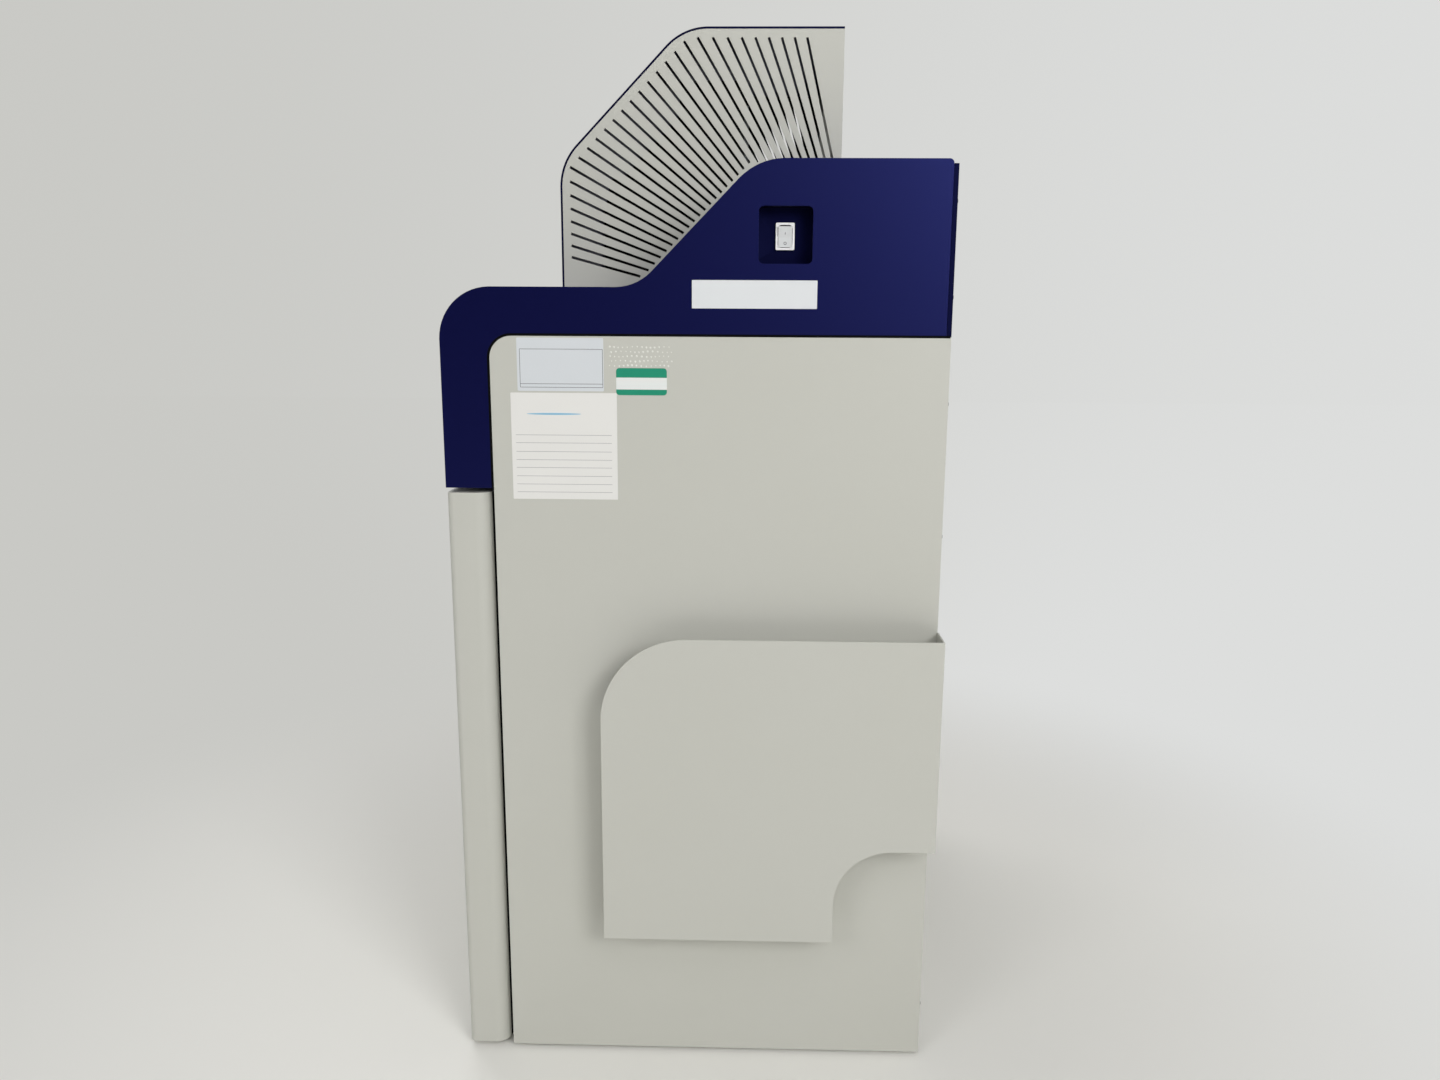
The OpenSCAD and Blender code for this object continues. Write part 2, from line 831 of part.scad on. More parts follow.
// How far a ray at angle a runs from the slots' centre to a line parallel to the slope,
// which passes through p and lies m outside it
function to_slope(a, p, m) =
    let (n = [-sin(slope_angle), cos(slope_angle)])
    (m - ([slots_y, slots_z] - p) * n) / sin(a + slope_angle);

function slot_outer(a) = min((slots_y - hood_y0 - slot_margin) / cos(a),
    to_slope(a, [hood_y0, chamfer_z], -slot_margin),
    (hood_top - slot_margin - slots_z) / sin(a));

function slot_inner(a) = max((deck_z + slot_foot_margin - slots_z) / sin(a),
    min(to_slope(a, [foot_y, deck_z], slot_foot_margin),
        (top_z + slot_foot_margin - slots_z) / sin(a)));

module hood_slots() {
    for (i = [0:slot_count - 1])
        let (a = slot_angle(i)) translate([slots_y, slots_z]) rotate(180 - a)
            translate([slot_inner(a), -slot_w / 2]) square([slot_outer(a) - slot_inner(a), slot_w]);
}

module hood_side() {
    along_x(hood_w / 2 - hood_t, hood_t) difference() {
        hood_outline(hood_t);
        cover_outline(0, leg_z, rear_y);
        translate([hood_y0, deck_z - eps]) square([hood_d, 2 * eps]);
        hood_slots();
    }
}

module hood_right_side() {
    color(beige) hood_side();
}

module hood_left_side() {
    color(beige) mirror([1, 0, 0]) hood_side();
}

hood_inner_x = hood_w / 2 - hood_t;
hood_rear_y = hood_y1 - hood_rear_inset;
hood_screw_inset = 8;
hood_screw_rise = 12;
hood_screw_drop = 14;
hood_screw_x = hood_inner_x - hood_screw_inset;
hood_screw_zs = [top_z + hood_screw_rise, hood_top - hood_screw_drop];
hood_vent_w = 4;
hood_vent_h = 60;
hood_vent_pitch = 13;
hood_vent_rise = 30;
cable_notch_w = 28;
cable_notch_h = 16;

module hood_rear_panel() {
    color(beige) difference() {
        along_y(hood_rear_y - hood_t, hood_t) difference() {
            translate([-hood_inner_x, top_z]) square([2 * hood_inner_x, hood_rise - hood_t]);
            for (i = [-8:8]) translate([i * hood_vent_pitch - hood_vent_w / 2, top_z + hood_vent_rise])
                square([hood_vent_w, hood_vent_h]);
            translate([-cable_notch_w / 2, top_z - eps]) square([cable_notch_w, cable_notch_h + eps]);
        }
        for (x = [-1, 1], z = hood_screw_zs)
            rod_y([x * hood_screw_x, hood_rear_y - hood_t - eps, z], screw_hole_r, hood_t + 2 * eps);
    }
}

module hood_screws() {
    color(zinc) for (x = [-1, 1], z = hood_screw_zs)
        pan_screw_y([x * hood_screw_x, hood_rear_y, z], hood_t + screw_reach);
}

// Side pocket ------------------------------------------------------------

pocket_y1 = rear_y + pocket_over;
pocket_y0 = pocket_y1 - pocket_w;
pocket_z0 = panel_z + pocket_lift;
pocket_z1 = pocket_z0 + pocket_h;

module pocket_notch(t) {
    y = pocket_y1 - notch_w - t;
    z = pocket_z0 + notch_h + t;
    difference() {
        translate([y, pocket_z0 - eps]) square([notch_w + t + eps, notch_h + t + eps]);
        corner_sliver([y, z], 0, -90, notch_r + t);
    }
}

module side_pocket() {
    color(beige) difference() {
        along_x(half_w, pocket_d) difference() {
            translate([pocket_y0, pocket_z0]) square([pocket_w, pocket_h]);
            corner_sliver([pocket_y0, pocket_z1], 0, -90, pocket_r);
            pocket_notch(0);
        }
        along_x(half_w - eps, pocket_d - pocket_t + eps) difference() {
            union() {
                translate([pocket_y0 + pocket_t, pocket_z0 + pocket_t])
                    square([pocket_w - 2 * pocket_t, pocket_h]);
                translate([pocket_y0 - eps, pocket_z1 - pocket_r])
                    square([pocket_w / 2, pocket_r + eps]);
            }
            pocket_notch(pocket_t);
        }
    }
}

// Power switch -----------------------------------------------------------

rocker_w = bezel_w - 4.2;
rocker_h = bezel_h - 5.2;
rocker_x = recess_floor_x + 0.4;
rocker_tilt = 8;
trunnion_r = 1;
switch_body_d = 14;

module switch_housing() {
    color(white) difference() {
        union() {
            along_x(recess_floor_x, bezel_t) translate([recess_y, recess_z])
                round_rect(bezel_w, bezel_h, 1.2);
            along_x(recess_floor_x - switch_body_d, switch_body_d + eps) translate([recess_y, recess_z])
                square([bezel_w - 2 - fit, bezel_h - 2 - fit], center = true);
        }
        along_x(rocker_x - 7, 20) translate([recess_y, recess_z])
            square([rocker_w + 2 * fit, rocker_h + 4 * fit], center = true);
        rod_y([rocker_x, recess_y - rocker_w / 2 - 1.2, recess_z], trunnion_r + run_fit, rocker_w + 2.4);
    }
}

module switch_rocker() {
    h = rocker_h / 2;
    color(white) translate([rocker_x, recess_y, recess_z]) rotate([0, rocker_tilt, 0]) {
        translate([0, rocker_w / 2, 0]) rotate([90, 0, 0]) linear_extrude(rocker_w)
            polygon([[-3, -h + 2], [-3, h - 2], [0, h], [3.6, h], [2.5, 0], [3.6, -h], [0, -h]]);
        rod_y([0, -rocker_w / 2 - 1, 0], trunnion_r, rocker_w + 2);
    }
}

// Controls ---------------------------------------------------------------

control_y = front_y + cover_wall;
control_t = 3;
board_y = control_y + 9.6;
board_t = 1.6;
button_xs = [for (i = [0:3]) (i - 1.5) * button_pitch];
light_rise = 17;
light_r = 2;
light_proud = 0.6;

module control_panel() {
    color([0.2, 0.2, 0.24]) {
        along_y(control_y, control_t) difference() {
            translate([0, control_z]) round_rect(control_w + 16, control_h + 14, 6);
            for (x = button_xs) {
                translate([x, control_z - 5]) circle(button_d / 2 + fit);
                translate([x, control_z - 5 + light_rise]) circle(light_r + run_fit);
            }
        }
        for (x = [-1, 1], z = [-1, 1])
            rod_y([x * (control_w / 2 - 8), control_y + control_t - eps, control_z + z * (control_h / 2 - 6)],
                3, board_y - control_y - control_t + eps);
    }
}

module control_board() {
    color([0.1, 0.35, 0.2]) {
        translate([-control_w / 2, board_y, control_z - control_h / 2])
            cube([control_w, board_t, control_h]);
        for (x = button_xs) translate([x - 3, board_y - 1.2, control_z - 8]) cube([6, 1.2, 6]);
    }
}

module push_button(i) {
    cap_y = control_y - cover_wall + 0.5;
    flange_y = control_y + control_t + fit;
    x = button_xs[i];
    difference() {
        union() {
            rod_y([x, cap_y, control_z - 5], button_d / 2, flange_y - cap_y + eps);
            rod_y([x, flange_y, control_z - 5], button_d / 2 + 1.5, 1.2);
            rod_y([x, flange_y + 1, control_z - 5], 2, board_y - 1.2 - fit - button_travel - flange_y - 1);
        }
        translate([x, cap_y - 17.4, control_z - 5]) sphere(18);
    }
}

module white_light_button() {
    color(white) push_button(0);
}

module uv_light_button() {
    color(white) push_button(1);
}

module table_light_button() {
    color(white) push_button(2);
}

module filter_button() {
    color(white) push_button(3);
}

module light_pipes() {
    color([0.3, 0.75, 0.35]) for (x = button_xs)
        rod_y([x, control_y - light_proud, control_z - 5 + light_rise], light_r,
            board_y - control_y + light_proud);
}

// Optics -----------------------------------------------------------------

shelf_t = 3;
shelf_rise = 72;
shelf_z = ceiling_z + ceiling_t + shelf_rise;
lens_z = ceiling_z + ceiling_t + lens_lift;
camera_z = lens_z + lens_l;
bracket_t = 4;
bracket_d = 46;
bracket_x = camera_w / 2 - 8;
bracket_rib_h = 83;
bracket_window_x = lens_d / 2 - 8;
bracket_grip = 8;
bracket_drop = 20;
camera_back_y = axis_y + camera_d / 2;
wheel_y = axis_y + wheel_pitch_r;
wheel_r = wheel_pitch_r + filter_d / 2 + 6;
wheel_z = ceiling_z + ceiling_t + 10;
motor_size = 42;
motor_h = 40;
motor_z = wheel_z + wheel_t + 6;
motor_plate_t = 3;
shaft_r = 2.5;
shaft_depth = 20;

module camera_shelf() {
    color(zinc) difference() {
        translate([-inner_x, frame_back_y, shelf_z - panel_fold])
            cube([2 * inner_x, rear_sheet_y - frame_back_y, panel_fold + shelf_t]);
        translate([-inner_x + shelf_t, frame_back_y - eps, shelf_z - panel_fold - eps])
            cube([2 * (inner_x - shelf_t), rear_sheet_y - frame_back_y + 2 * eps, panel_fold + eps]);
        translate([0, axis_y, shelf_z - eps]) cylinder(r = lens_hole_d / 2, h = shelf_t + 2 * eps);
    }
}

// The bracket stands behind the camera, with a window where the lens passes
module camera_bracket() {
    foot_z = shelf_z + shelf_t;
    back_y = camera_back_y + bracket_t - eps;
    rib_z = foot_z + bracket_t - eps;
    color(zinc) {
        along_y(camera_back_y, bracket_t) difference() {
            translate([-bracket_x, foot_z])
                square([2 * bracket_x, camera_z + camera_h - bracket_drop - foot_z]);
            translate([-bracket_window_x, foot_z - eps])
                square([2 * bracket_window_x, camera_z - bracket_grip - foot_z + eps]);
        }
        translate([-bracket_x, back_y, foot_z]) cube([2 * bracket_x, bracket_d - bracket_t, bracket_t]);
        both_sides() along_x(bracket_x - bracket_t, bracket_t) polygon([[back_y, rib_z],
            [back_y + bracket_d - bracket_t - 2, rib_z], [back_y, rib_z + bracket_rib_h]]);
    }
}

cooler_x = camera_w / 2 - 8;
cooler_rise = 14;
fin_pitch = 8;
fin_t = 1;
fin_w = 2;

// The camera with its fins, and the cooler that is bolted to its front
module camera_body() {
    color([0.13, 0.13, 0.14]) {
        upwards(camera_z, camera_h) translate([0, axis_y]) round_rect(camera_w, camera_d, 5);
        for (i = [0:6]) upwards(camera_z + camera_h - fin_t - i * fin_pitch, fin_t) translate([0, axis_y])
            round_rect(camera_w + 2 * fin_w, camera_d - fin_w, 5);
        translate([-cooler_x, axis_y - camera_d / 2 - cooler_reach, camera_z + cooler_rise])
            cube([2 * cooler_x, cooler_reach + eps, cooler_h]);
        translate([0, axis_y, camera_z - 4]) cylinder(r = 21, h = 4 + eps);
    }
}

module lens_ring(z, h, r) {
    translate([0, axis_y, z]) difference() {
        union() {
            cylinder(r = r, h = h);
            for (i = [0:19]) rotate(i * 18) translate([r - 1, -1, 2]) cube([2.6, 2, h - 4]);
        }
        translate([0, 0, -eps]) cylinder(r = lens_d / 2 - 4 + run_fit, h = h + 2 * eps);
    }
}

zoom_rise = 84;
focus_rise = 34;
zoom_z = lens_z + zoom_rise;
focus_z = lens_z + focus_rise;
ring_h = 30;

module lens_barrel() {
    r = lens_d / 2;
    color(black) translate([0, axis_y, 0]) difference() {
        union() {
            translate([0, 0, lens_z]) cylinder(r = r + 2, h = focus_z - fit - lens_z);
            translate([0, 0, lens_z]) cylinder(r = r - 4, h = camera_z - 4 - lens_z);
            translate([0, 0, focus_z + ring_h + fit])
                cylinder(r = r + 1, h = zoom_z - focus_z - ring_h - 2 * fit);
            translate([0, 0, zoom_z + ring_h + fit])
                cylinder(r = r - 1, h = camera_z - 4 - zoom_z - ring_h - fit);
        }
        translate([0, 0, lens_z - eps]) cylinder(r = r - 5, h = 14 + eps);
        translate([0, 0, lens_z + 14 - eps]) cylinder(r = r - 12, h = lens_l);
    }
}

module zoom_ring() {
    color([0.16, 0.16, 0.17]) lens_ring(zoom_z, ring_h, lens_d / 2);
}

module focus_ring() {
    color([0.16, 0.16, 0.17]) lens_ring(focus_z, ring_h, lens_d / 2);
}

module lens_glass() {
    color([0.35, 0.45, 0.6, 0.6]) translate([0, axis_y, lens_z + 6]) intersection() {
        cylinder(r = lens_d / 2 - 5, h = 8);
        translate([0, 0, 80]) sphere(80);
    }
}

module filter_places() {
    for (i = [0:filter_count - 1]) rotate(i * 360 / filter_count - 90)
        translate([wheel_pitch_r, 0, 0]) children();
}

module filter_wheel() {
    color([0.2, 0.2, 0.21]) translate([0, wheel_y, wheel_z]) difference() {
        union() {
            cylinder(r = wheel_r, h = wheel_t);
            cylinder(r = 11, h = wheel_t + 2);
            cylinder(r = shaft_r, h = motor_z + shaft_depth - wheel_z);
        }
        filter_places() translate([0, 0, 1.5]) cylinder(r = filter_d / 2, h = wheel_t);
        filter_places() translate([0, 0, -eps]) cylinder(r = filter_d / 2 - 2, h = wheel_t);
    }
}

module filter_glasses() {
    color([0.75, 0.35, 0.1, 0.7]) translate([0, wheel_y, wheel_z + 1.5])
        filter_places() cylinder(r = filter_d / 2 - 0.1, h = 3);
}

// The motor hangs over the wheel on a plate with two legs
module filter_motor() {
    leg_x = wheel_r + 6;
    leg_w = 10;
    leg_d = 24;
    top_z0 = ceiling_z + ceiling_t;
    color(zinc) difference() {
        union() {
            translate([-motor_size / 2, wheel_y - motor_size / 2, motor_z])
                cube([motor_size, motor_size, motor_h]);
            both_sides() translate([leg_x, wheel_y - leg_d / 2, top_z0])
                cube([leg_w, leg_d, motor_z - top_z0]);
            translate([-leg_x - leg_w, wheel_y - leg_d / 2, motor_z - motor_plate_t])
                cube([2 * leg_x + 2 * leg_w, leg_d, motor_plate_t]);
        }
        translate([0, wheel_y, motor_z - motor_plate_t - eps])
            cylinder(r = shaft_r + run_fit, h = motor_plate_t + shaft_depth + 1 + eps);
    }
}

// Sample table -----------------------------------------------------------

tray_x = tray_w / 2;
rail_sheet = 1.5;
tray_back_gap = 8.8;
tray_y0 = chamber_back_y - tray_back_gap - tray_d;
middle_x = tray_x - rail_sheet - fit;
slide_x = middle_x - rail_sheet - fit;
slide_bar_t = 3;

// Outer members of the telescopic runners, fixed to the floor
module runner_rails() {
    color(zinc) both_sides() translate([0, tray_y0, floor_z]) {
        translate([tray_x - rail_sheet, 0, 0]) cube([rail_sheet, tray_d, runner_h]);
        for (z = [0, runner_h - rail_sheet]) translate([tray_x - 8, 0, z]) cube([8, tray_d, rail_sheet]);
    }
}

// Middle members of the telescopic runners
module runner_slides() {
    z0 = rail_sheet + fit;
    h = runner_h - 2 * z0;
    color(zinc) both_sides() translate([0, tray_y0, floor_z + z0]) {
        translate([middle_x - rail_sheet, 0, 0]) cube([rail_sheet, tray_d, h]);
        for (z = [0, h - rail_sheet]) translate([middle_x - 6, 0, z]) cube([6, tray_d, rail_sheet]);
    }
}

tray_sheet = 2;
tray_lip_h = 24;
grip_w = 80;
grip_h = 10;
grip_rise = 8;
tray_edge_x = slide_x - slide_bar_t;
tray_floor_z = floor_z + 2 * (rail_sheet + fit) + 1;

module pull_out_tray() {
    z0 = 2 * (rail_sheet + fit);
    color(zinc) translate([0, tray_y0, 0]) {
        both_sides() translate([tray_edge_x, 0, floor_z + z0])
            cube([slide_bar_t, tray_d, runner_h - 2 * z0]);
        translate([-tray_edge_x, 0, tray_floor_z]) cube([2 * tray_edge_x, tray_d, tray_sheet]);
        along_y(0, tray_sheet) difference() {
            translate([-tray_edge_x, tray_floor_z]) square([2 * tray_edge_x, tray_lip_h]);
            translate([-grip_w / 2, tray_floor_z + grip_rise]) square([grip_w, grip_h]);
        }
    }
}

table_w = 2 * (tray_edge_x - table_side_gap);
table_d = tray_d - 2 * table_end_gap;
table_y0 = tray_y0 + table_end_gap;
table_z = tray_floor_z + tray_sheet;
glass_t = 4;
glass_inset = 20;
glass_gap = glass_inset + fit;

module light_table() {
    color([0.2, 0.2, 0.22]) translate([-table_w / 2, table_y0, table_z]) difference() {
        cube([table_w, table_d, table_h]);
        translate([2, 2, 2]) cube([table_w - 4, table_d - 4, table_h - glass_t - 4]);
        translate([glass_inset, glass_inset, table_h - glass_t])
            cube([table_w - 2 * glass_inset, table_d - 2 * glass_inset, glass_t + eps]);
        translate([glass_inset + 5, glass_inset + 5, table_h - glass_t - 4])
            cube([table_w - 2 * glass_inset - 10, table_d - 2 * glass_inset - 10, 6]);
        for (i = [0:9]) translate([-eps, 40 + i * 12, 20]) cube([table_w + 2 * eps, 4, 30]);
    }
}

module table_glass() {
    color([0.25, 0.1, 0.4, 0.8])
        translate([-table_w / 2 + glass_gap, table_y0 + glass_gap, table_z + table_h - glass_t])
            cube([table_w - 2 * glass_gap, table_d - 2 * glass_gap, glass_t]);
}

tube_count = 6;
tube_r = 8;

module table_tubes() {
    pitch = (table_d - 40) / tube_count;
    color(white) for (i = [0:tube_count - 1])
        rod_x([-table_w / 2 + 2, table_y0 + 20 + (i + 0.5) * pitch, table_z + table_h / 2],
            tube_r, table_w - 4);
}

platform_z = floor_z + platform_lift;

// The platform and the four tongues that slide in the wall rails
module sample_platform() {
    color(white) {
        translate([-platform_w / 2, platform_y0, platform_z])
            cube([platform_w, platform_d, platform_t]);
        for (s = [-1, 1], y = [rail_y0, rail_y1])
            translate([s > 0 ? platform_w / 2 - eps : -chamber_x + rail_d - rail_slot_d + fit,
                y - rail_slot_w / 2 + fit, platform_z])
                cube([chamber_x - rail_d + rail_slot_d - fit - platform_w / 2 + eps,
                    rail_slot_w - 2 * fit, platform_t]);
    }
}

// Rear fittings ----------------------------------------------------------

inlet_y = rear_sheet_y + rear_t;
socket_w = 24;
socket_h = 16.4;
socket_d = 16;
pin_l = 10.5;

// Mains inlet with its flange, socket and three pins
module mains_inlet() {
    color(black) {
        difference() {
            union() {
                along_y(inlet_y, 1.4) translate([inlet_x, inlet_z]) round_rect(inlet_w + 22, inlet_h + 6, 4);
                along_y(inlet_y - 24, 24 + eps) translate([inlet_x, inlet_z])
                    square([inlet_w - 2 * fit, inlet_h - 2 * fit], center = true);
            }
            along_y(inlet_y + 1.4 - socket_d, socket_d + eps) translate([inlet_x, inlet_z - 10])
                square([socket_w, socket_h], center = true);
        }
        for (p = [[-7, -2], [7, -2], [0, 2]])
            translate([inlet_x + p[0] - 1, inlet_y + 1.4 - socket_d - eps, inlet_z - 10 + p[1] - 2])
                cube([2, pin_l + eps, 4]);
    }
}

module fan_outline() {
    translate([fan_x, fan_z]) round_rect(fan_size, fan_size, fan_corner_r);
}

fan_corner_r = 4;
fan_hole_l = screw_reach + 2;
fan_arm_t = 2.5;
fan_arm_w = 3;
fan_axle_r = 2;
fan_axle_l = 8;
rotor_gap = 0.5;
rotor_r = fan_bore_r - 1;
hub_r = fan_bore_r - 20;
rotor_t = fan_t - fan_arm_t - rotor_gap - 2;
blade_t = 2;
blade_w = rotor_t - 2;
blade_angle = 38;

module cooling_fan() {
    y0 = rear_sheet_y - fan_t;
    color([0.1, 0.1, 0.1]) {
        difference() {
            along_y(y0, fan_t) fan_outline();
            rod_y([fan_x, y0 - eps, fan_z], fan_bore_r, fan_t + 2 * eps);
            at_fan_screws() rod_y([0, rear_sheet_y - fan_hole_l, 0], screw_hole_r, fan_hole_l + eps);
        }
        for (i = [0:3]) translate([fan_x, y0, fan_z]) rotate([0, 45 + i * 90, 0])
            translate([0, 0, -fan_arm_w / 2]) cube([fan_bore_r + eps, fan_arm_t, fan_arm_w]);
        rod_y([fan_x, y0, fan_z], hub_r, fan_arm_t);
        rod_y([fan_x, y0, fan_z], fan_axle_r, fan_axle_l);
    }
}

module fan_rotor() {
    y0 = rear_sheet_y - fan_t + fan_arm_t + rotor_gap;
    color([0.15, 0.15, 0.15]) difference() {
        union() {
            rod_y([fan_x, y0, fan_z], hub_r, rotor_t);
            for (i = [0:blade_count - 1]) translate([fan_x, y0 + rotor_t / 2, fan_z])
                rotate([0, i * 360 / blade_count, 0]) rotate([blade_angle, 0, 0])
                    translate([hub_r - 3, -blade_t / 2, -blade_w / 2])
                        cube([rotor_r - hub_r + 1, blade_t, blade_w]);
        }
        rod_y([fan_x, y0 - eps, fan_z], fan_axle_r + run_fit, fan_axle_l - fan_arm_t - rotor_gap + 2);
    }
}

// The assembly -----------------------------------------------------------

// The origin lies on the bench under the middle of the overall box, pocket included
module place() {
    translate([-pocket_d / 2, 0, 0]) children();
}

place() base_plate();
place() rubber_feet();
place() foot_screws();
place() right_side_panel();
place() left_side_panel();
place() rear_panel();
place() rear_panel_screws();
place() front_frame();
place() door_seal();
place() chamber_floor();
place() chamber_right_wall();
place() chamber_left_wall();
place() chamber_back_wall();
place() chamber_ceiling();
place() door_shell();
place() door_liner();
place() hinge_frame_leaves();
place() hinge_door_leaves();
place() hinge_pins();
place() door_magnets();
place() door_strikers();
place() top_cover();
place() rear_top_cover();
place() rear_cover_screws();
place() hood_wrap();
place() hood_right_side();
place() hood_left_side();
place() hood_rear_panel();
place() hood_screws();
place() side_pocket();
place() switch_housing();
place() switch_rocker();
place() control_panel();
place() control_board();
place() white_light_button();
place() uv_light_button();
place() table_light_button();
place() filter_button();
place() light_pipes();
place() camera_shelf();
place() camera_bracket();
place() camera_body();
place() lens_barrel();
place() zoom_ring();
place() focus_ring();
place() lens_glass();
place() filter_wheel();
place() filter_glasses();
place() filter_motor();
place() overhead_lamps();
place() runner_rails();
place() runner_slides();
place() pull_out_tray();
place() light_table();
place() table_glass();
place() table_tubes();
place() sample_platform();
place() mains_inlet();
place() cooling_fan();
place() fan_rotor();
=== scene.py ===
import json
import math

import bpy
from mathutils import Matrix, Vector


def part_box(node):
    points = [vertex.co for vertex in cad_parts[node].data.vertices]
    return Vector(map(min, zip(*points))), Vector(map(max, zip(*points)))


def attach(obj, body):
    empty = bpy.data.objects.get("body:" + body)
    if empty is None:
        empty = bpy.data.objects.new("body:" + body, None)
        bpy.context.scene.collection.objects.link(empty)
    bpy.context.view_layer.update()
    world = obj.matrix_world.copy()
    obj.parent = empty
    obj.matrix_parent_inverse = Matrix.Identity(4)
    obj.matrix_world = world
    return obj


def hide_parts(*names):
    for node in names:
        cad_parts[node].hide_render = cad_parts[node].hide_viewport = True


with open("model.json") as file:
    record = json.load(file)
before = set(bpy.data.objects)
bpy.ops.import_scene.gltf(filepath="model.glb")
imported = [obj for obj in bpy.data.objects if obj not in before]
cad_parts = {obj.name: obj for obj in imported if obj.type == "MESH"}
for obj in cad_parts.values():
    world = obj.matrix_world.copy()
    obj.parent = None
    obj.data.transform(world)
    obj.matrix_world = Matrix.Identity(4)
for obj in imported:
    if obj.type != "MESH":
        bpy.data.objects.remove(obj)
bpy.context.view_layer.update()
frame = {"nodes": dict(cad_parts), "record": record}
nodes = frame["nodes"]
bodyOf = {node: body for body, members in frame["record"]["behaviour"]["bodies"].items() for node in members}
slotOf = {part["node"]: part["material_slot"] for part in frame["record"]["subparts"]}
mm = 0.001
print("frame loaded", len(nodes), "nodes")

# the camera looks at the right side, square on and slightly down; angles in degrees
camera = {"place": (1.095, 0.04175, 0.641), "lens": 27.05, "sensor": 36.0, "near": 0.01,
          "yaw": -1.353, "pitch": 11.391, "roll": 0.334}


def aimCamera():
    yaw, pitch, roll = (math.radians(camera[k]) for k in ("yaw", "pitch", "roll"))
    forward = Vector((-math.cos(pitch) * math.cos(yaw), math.cos(pitch) * math.sin(yaw), -math.sin(pitch)))
    level = forward.cross(Vector((0, 0, 1))).normalized()
    above = level.cross(forward)
    right = math.cos(roll) * level + math.sin(roll) * above
    up = right.cross(forward)
    bpy.ops.object.camera_add(location=camera["place"])
    cam = bpy.context.object
    cam.rotation_euler = Matrix((right, up, -forward)).transposed().to_euler()
    cam.data.sensor_width = camera["sensor"]
    cam.data.lens = camera["lens"]
    cam.data.clip_start = camera["near"]
    bpy.context.scene.camera = cam


aimCamera()


def linear(code, alpha=1.0):  # sRGB hex to the linear colour that nodes take, by the standard curve
    parts = [int(code[i:i + 2], 16) / 255 for i in (1, 3, 5)]
    return tuple(c / 12.92 if c <= 0.04045 else ((c + 0.055) / 1.055) ** 2.4 for c in parts) + (alpha,)


def addNode(tree, kind, sockets=None, links=None, **settings):
    node = tree.nodes.new(kind)
    for name, value in settings.items():
        setattr(node, name, value)
    for name, value in (sockets or {}).items():
        node.inputs[name].default_value = value
    for name, source in (links or {}).items():
        tree.links.new(source, node.inputs[name])
    return node


def newTree(name):
    made = bpy.data.materials.new(name)
    made.use_nodes = True
    made.node_tree.nodes.clear()
    return made, made.node_tree


# floor, backdrop and lamps in metres and watts; the floor fades into the backdrop between the two distances
studio = {
    "floorSize": 16.0, "floor": "#f3f2ed", "fadeFrom": 0.4, "fadeTo": 1.0,
    "paleLeft": "#c9c9c5", "paleRight": "#dddedd", "toneReach": 0.65,
    "fillColour": "#ffffff", "fill": 0.34,
    "felt": "#101010", "cardPlace": (2.9, -1.5, 1.1), "cardSize": (3.8, 4.4),
    "lamps": [
        {"name": "overhead", "place": (2.1, 0.6, 2.3), "aim": (0.1, 0, 0.45), "size": 1.9, "watts": 14,
         "sheen": True},
        {"name": "sideSheen", "place": (2.3, 1.35, 1.45), "aim": (0.2, 0, 0.6), "size": 1.0, "watts": 25,
         "sheen": True},
        {"name": "behind", "place": (-1.7, -0.9, 2.1), "aim": (0, 0, 0.45), "size": 1.8, "watts": 20,
         "sheen": True},
        {"name": "leftFill", "place": (2.2, -1.5, 1.5), "aim": (0.2, 0, 0.45), "size": 1.0, "watts": 11,
         "sheen": False},
    ],
}


def paleWhereSeen(tree):  # 1 for camera, glossy and transmission rays, 0 for light that falls on the object
    ray = addNode(tree, "ShaderNodeLightPath")
    direct = addNode(tree, "ShaderNodeMath", operation="MAXIMUM",
                     links={0: ray.outputs["Is Camera Ray"], 1: ray.outputs["Is Glossy Ray"]})
    return addNode(tree, "ShaderNodeMath", operation="MAXIMUM",
                   links={0: direct.outputs[0], 1: ray.outputs["Is Transmission Ray"]}).outputs[0]


def backdropTone(tree, heading):  # a slow change of tone from the left to the right, by world direction
    side = addNode(tree, "ShaderNodeSeparateXYZ", links={0: heading}).outputs["Y"]
    share = addNode(tree, "ShaderNodeMapRange",
                    {"From Min": -studio["toneReach"], "From Max": studio["toneReach"]}, {"Value": side},
                    interpolation_type="SMOOTHSTEP")
    return addNode(tree, "ShaderNodeMixRGB",
                   {"Color1": linear(studio["paleLeft"]), "Color2": linear(studio["paleRight"])},
                   {"Fac": share.outputs[0]}).outputs[0]


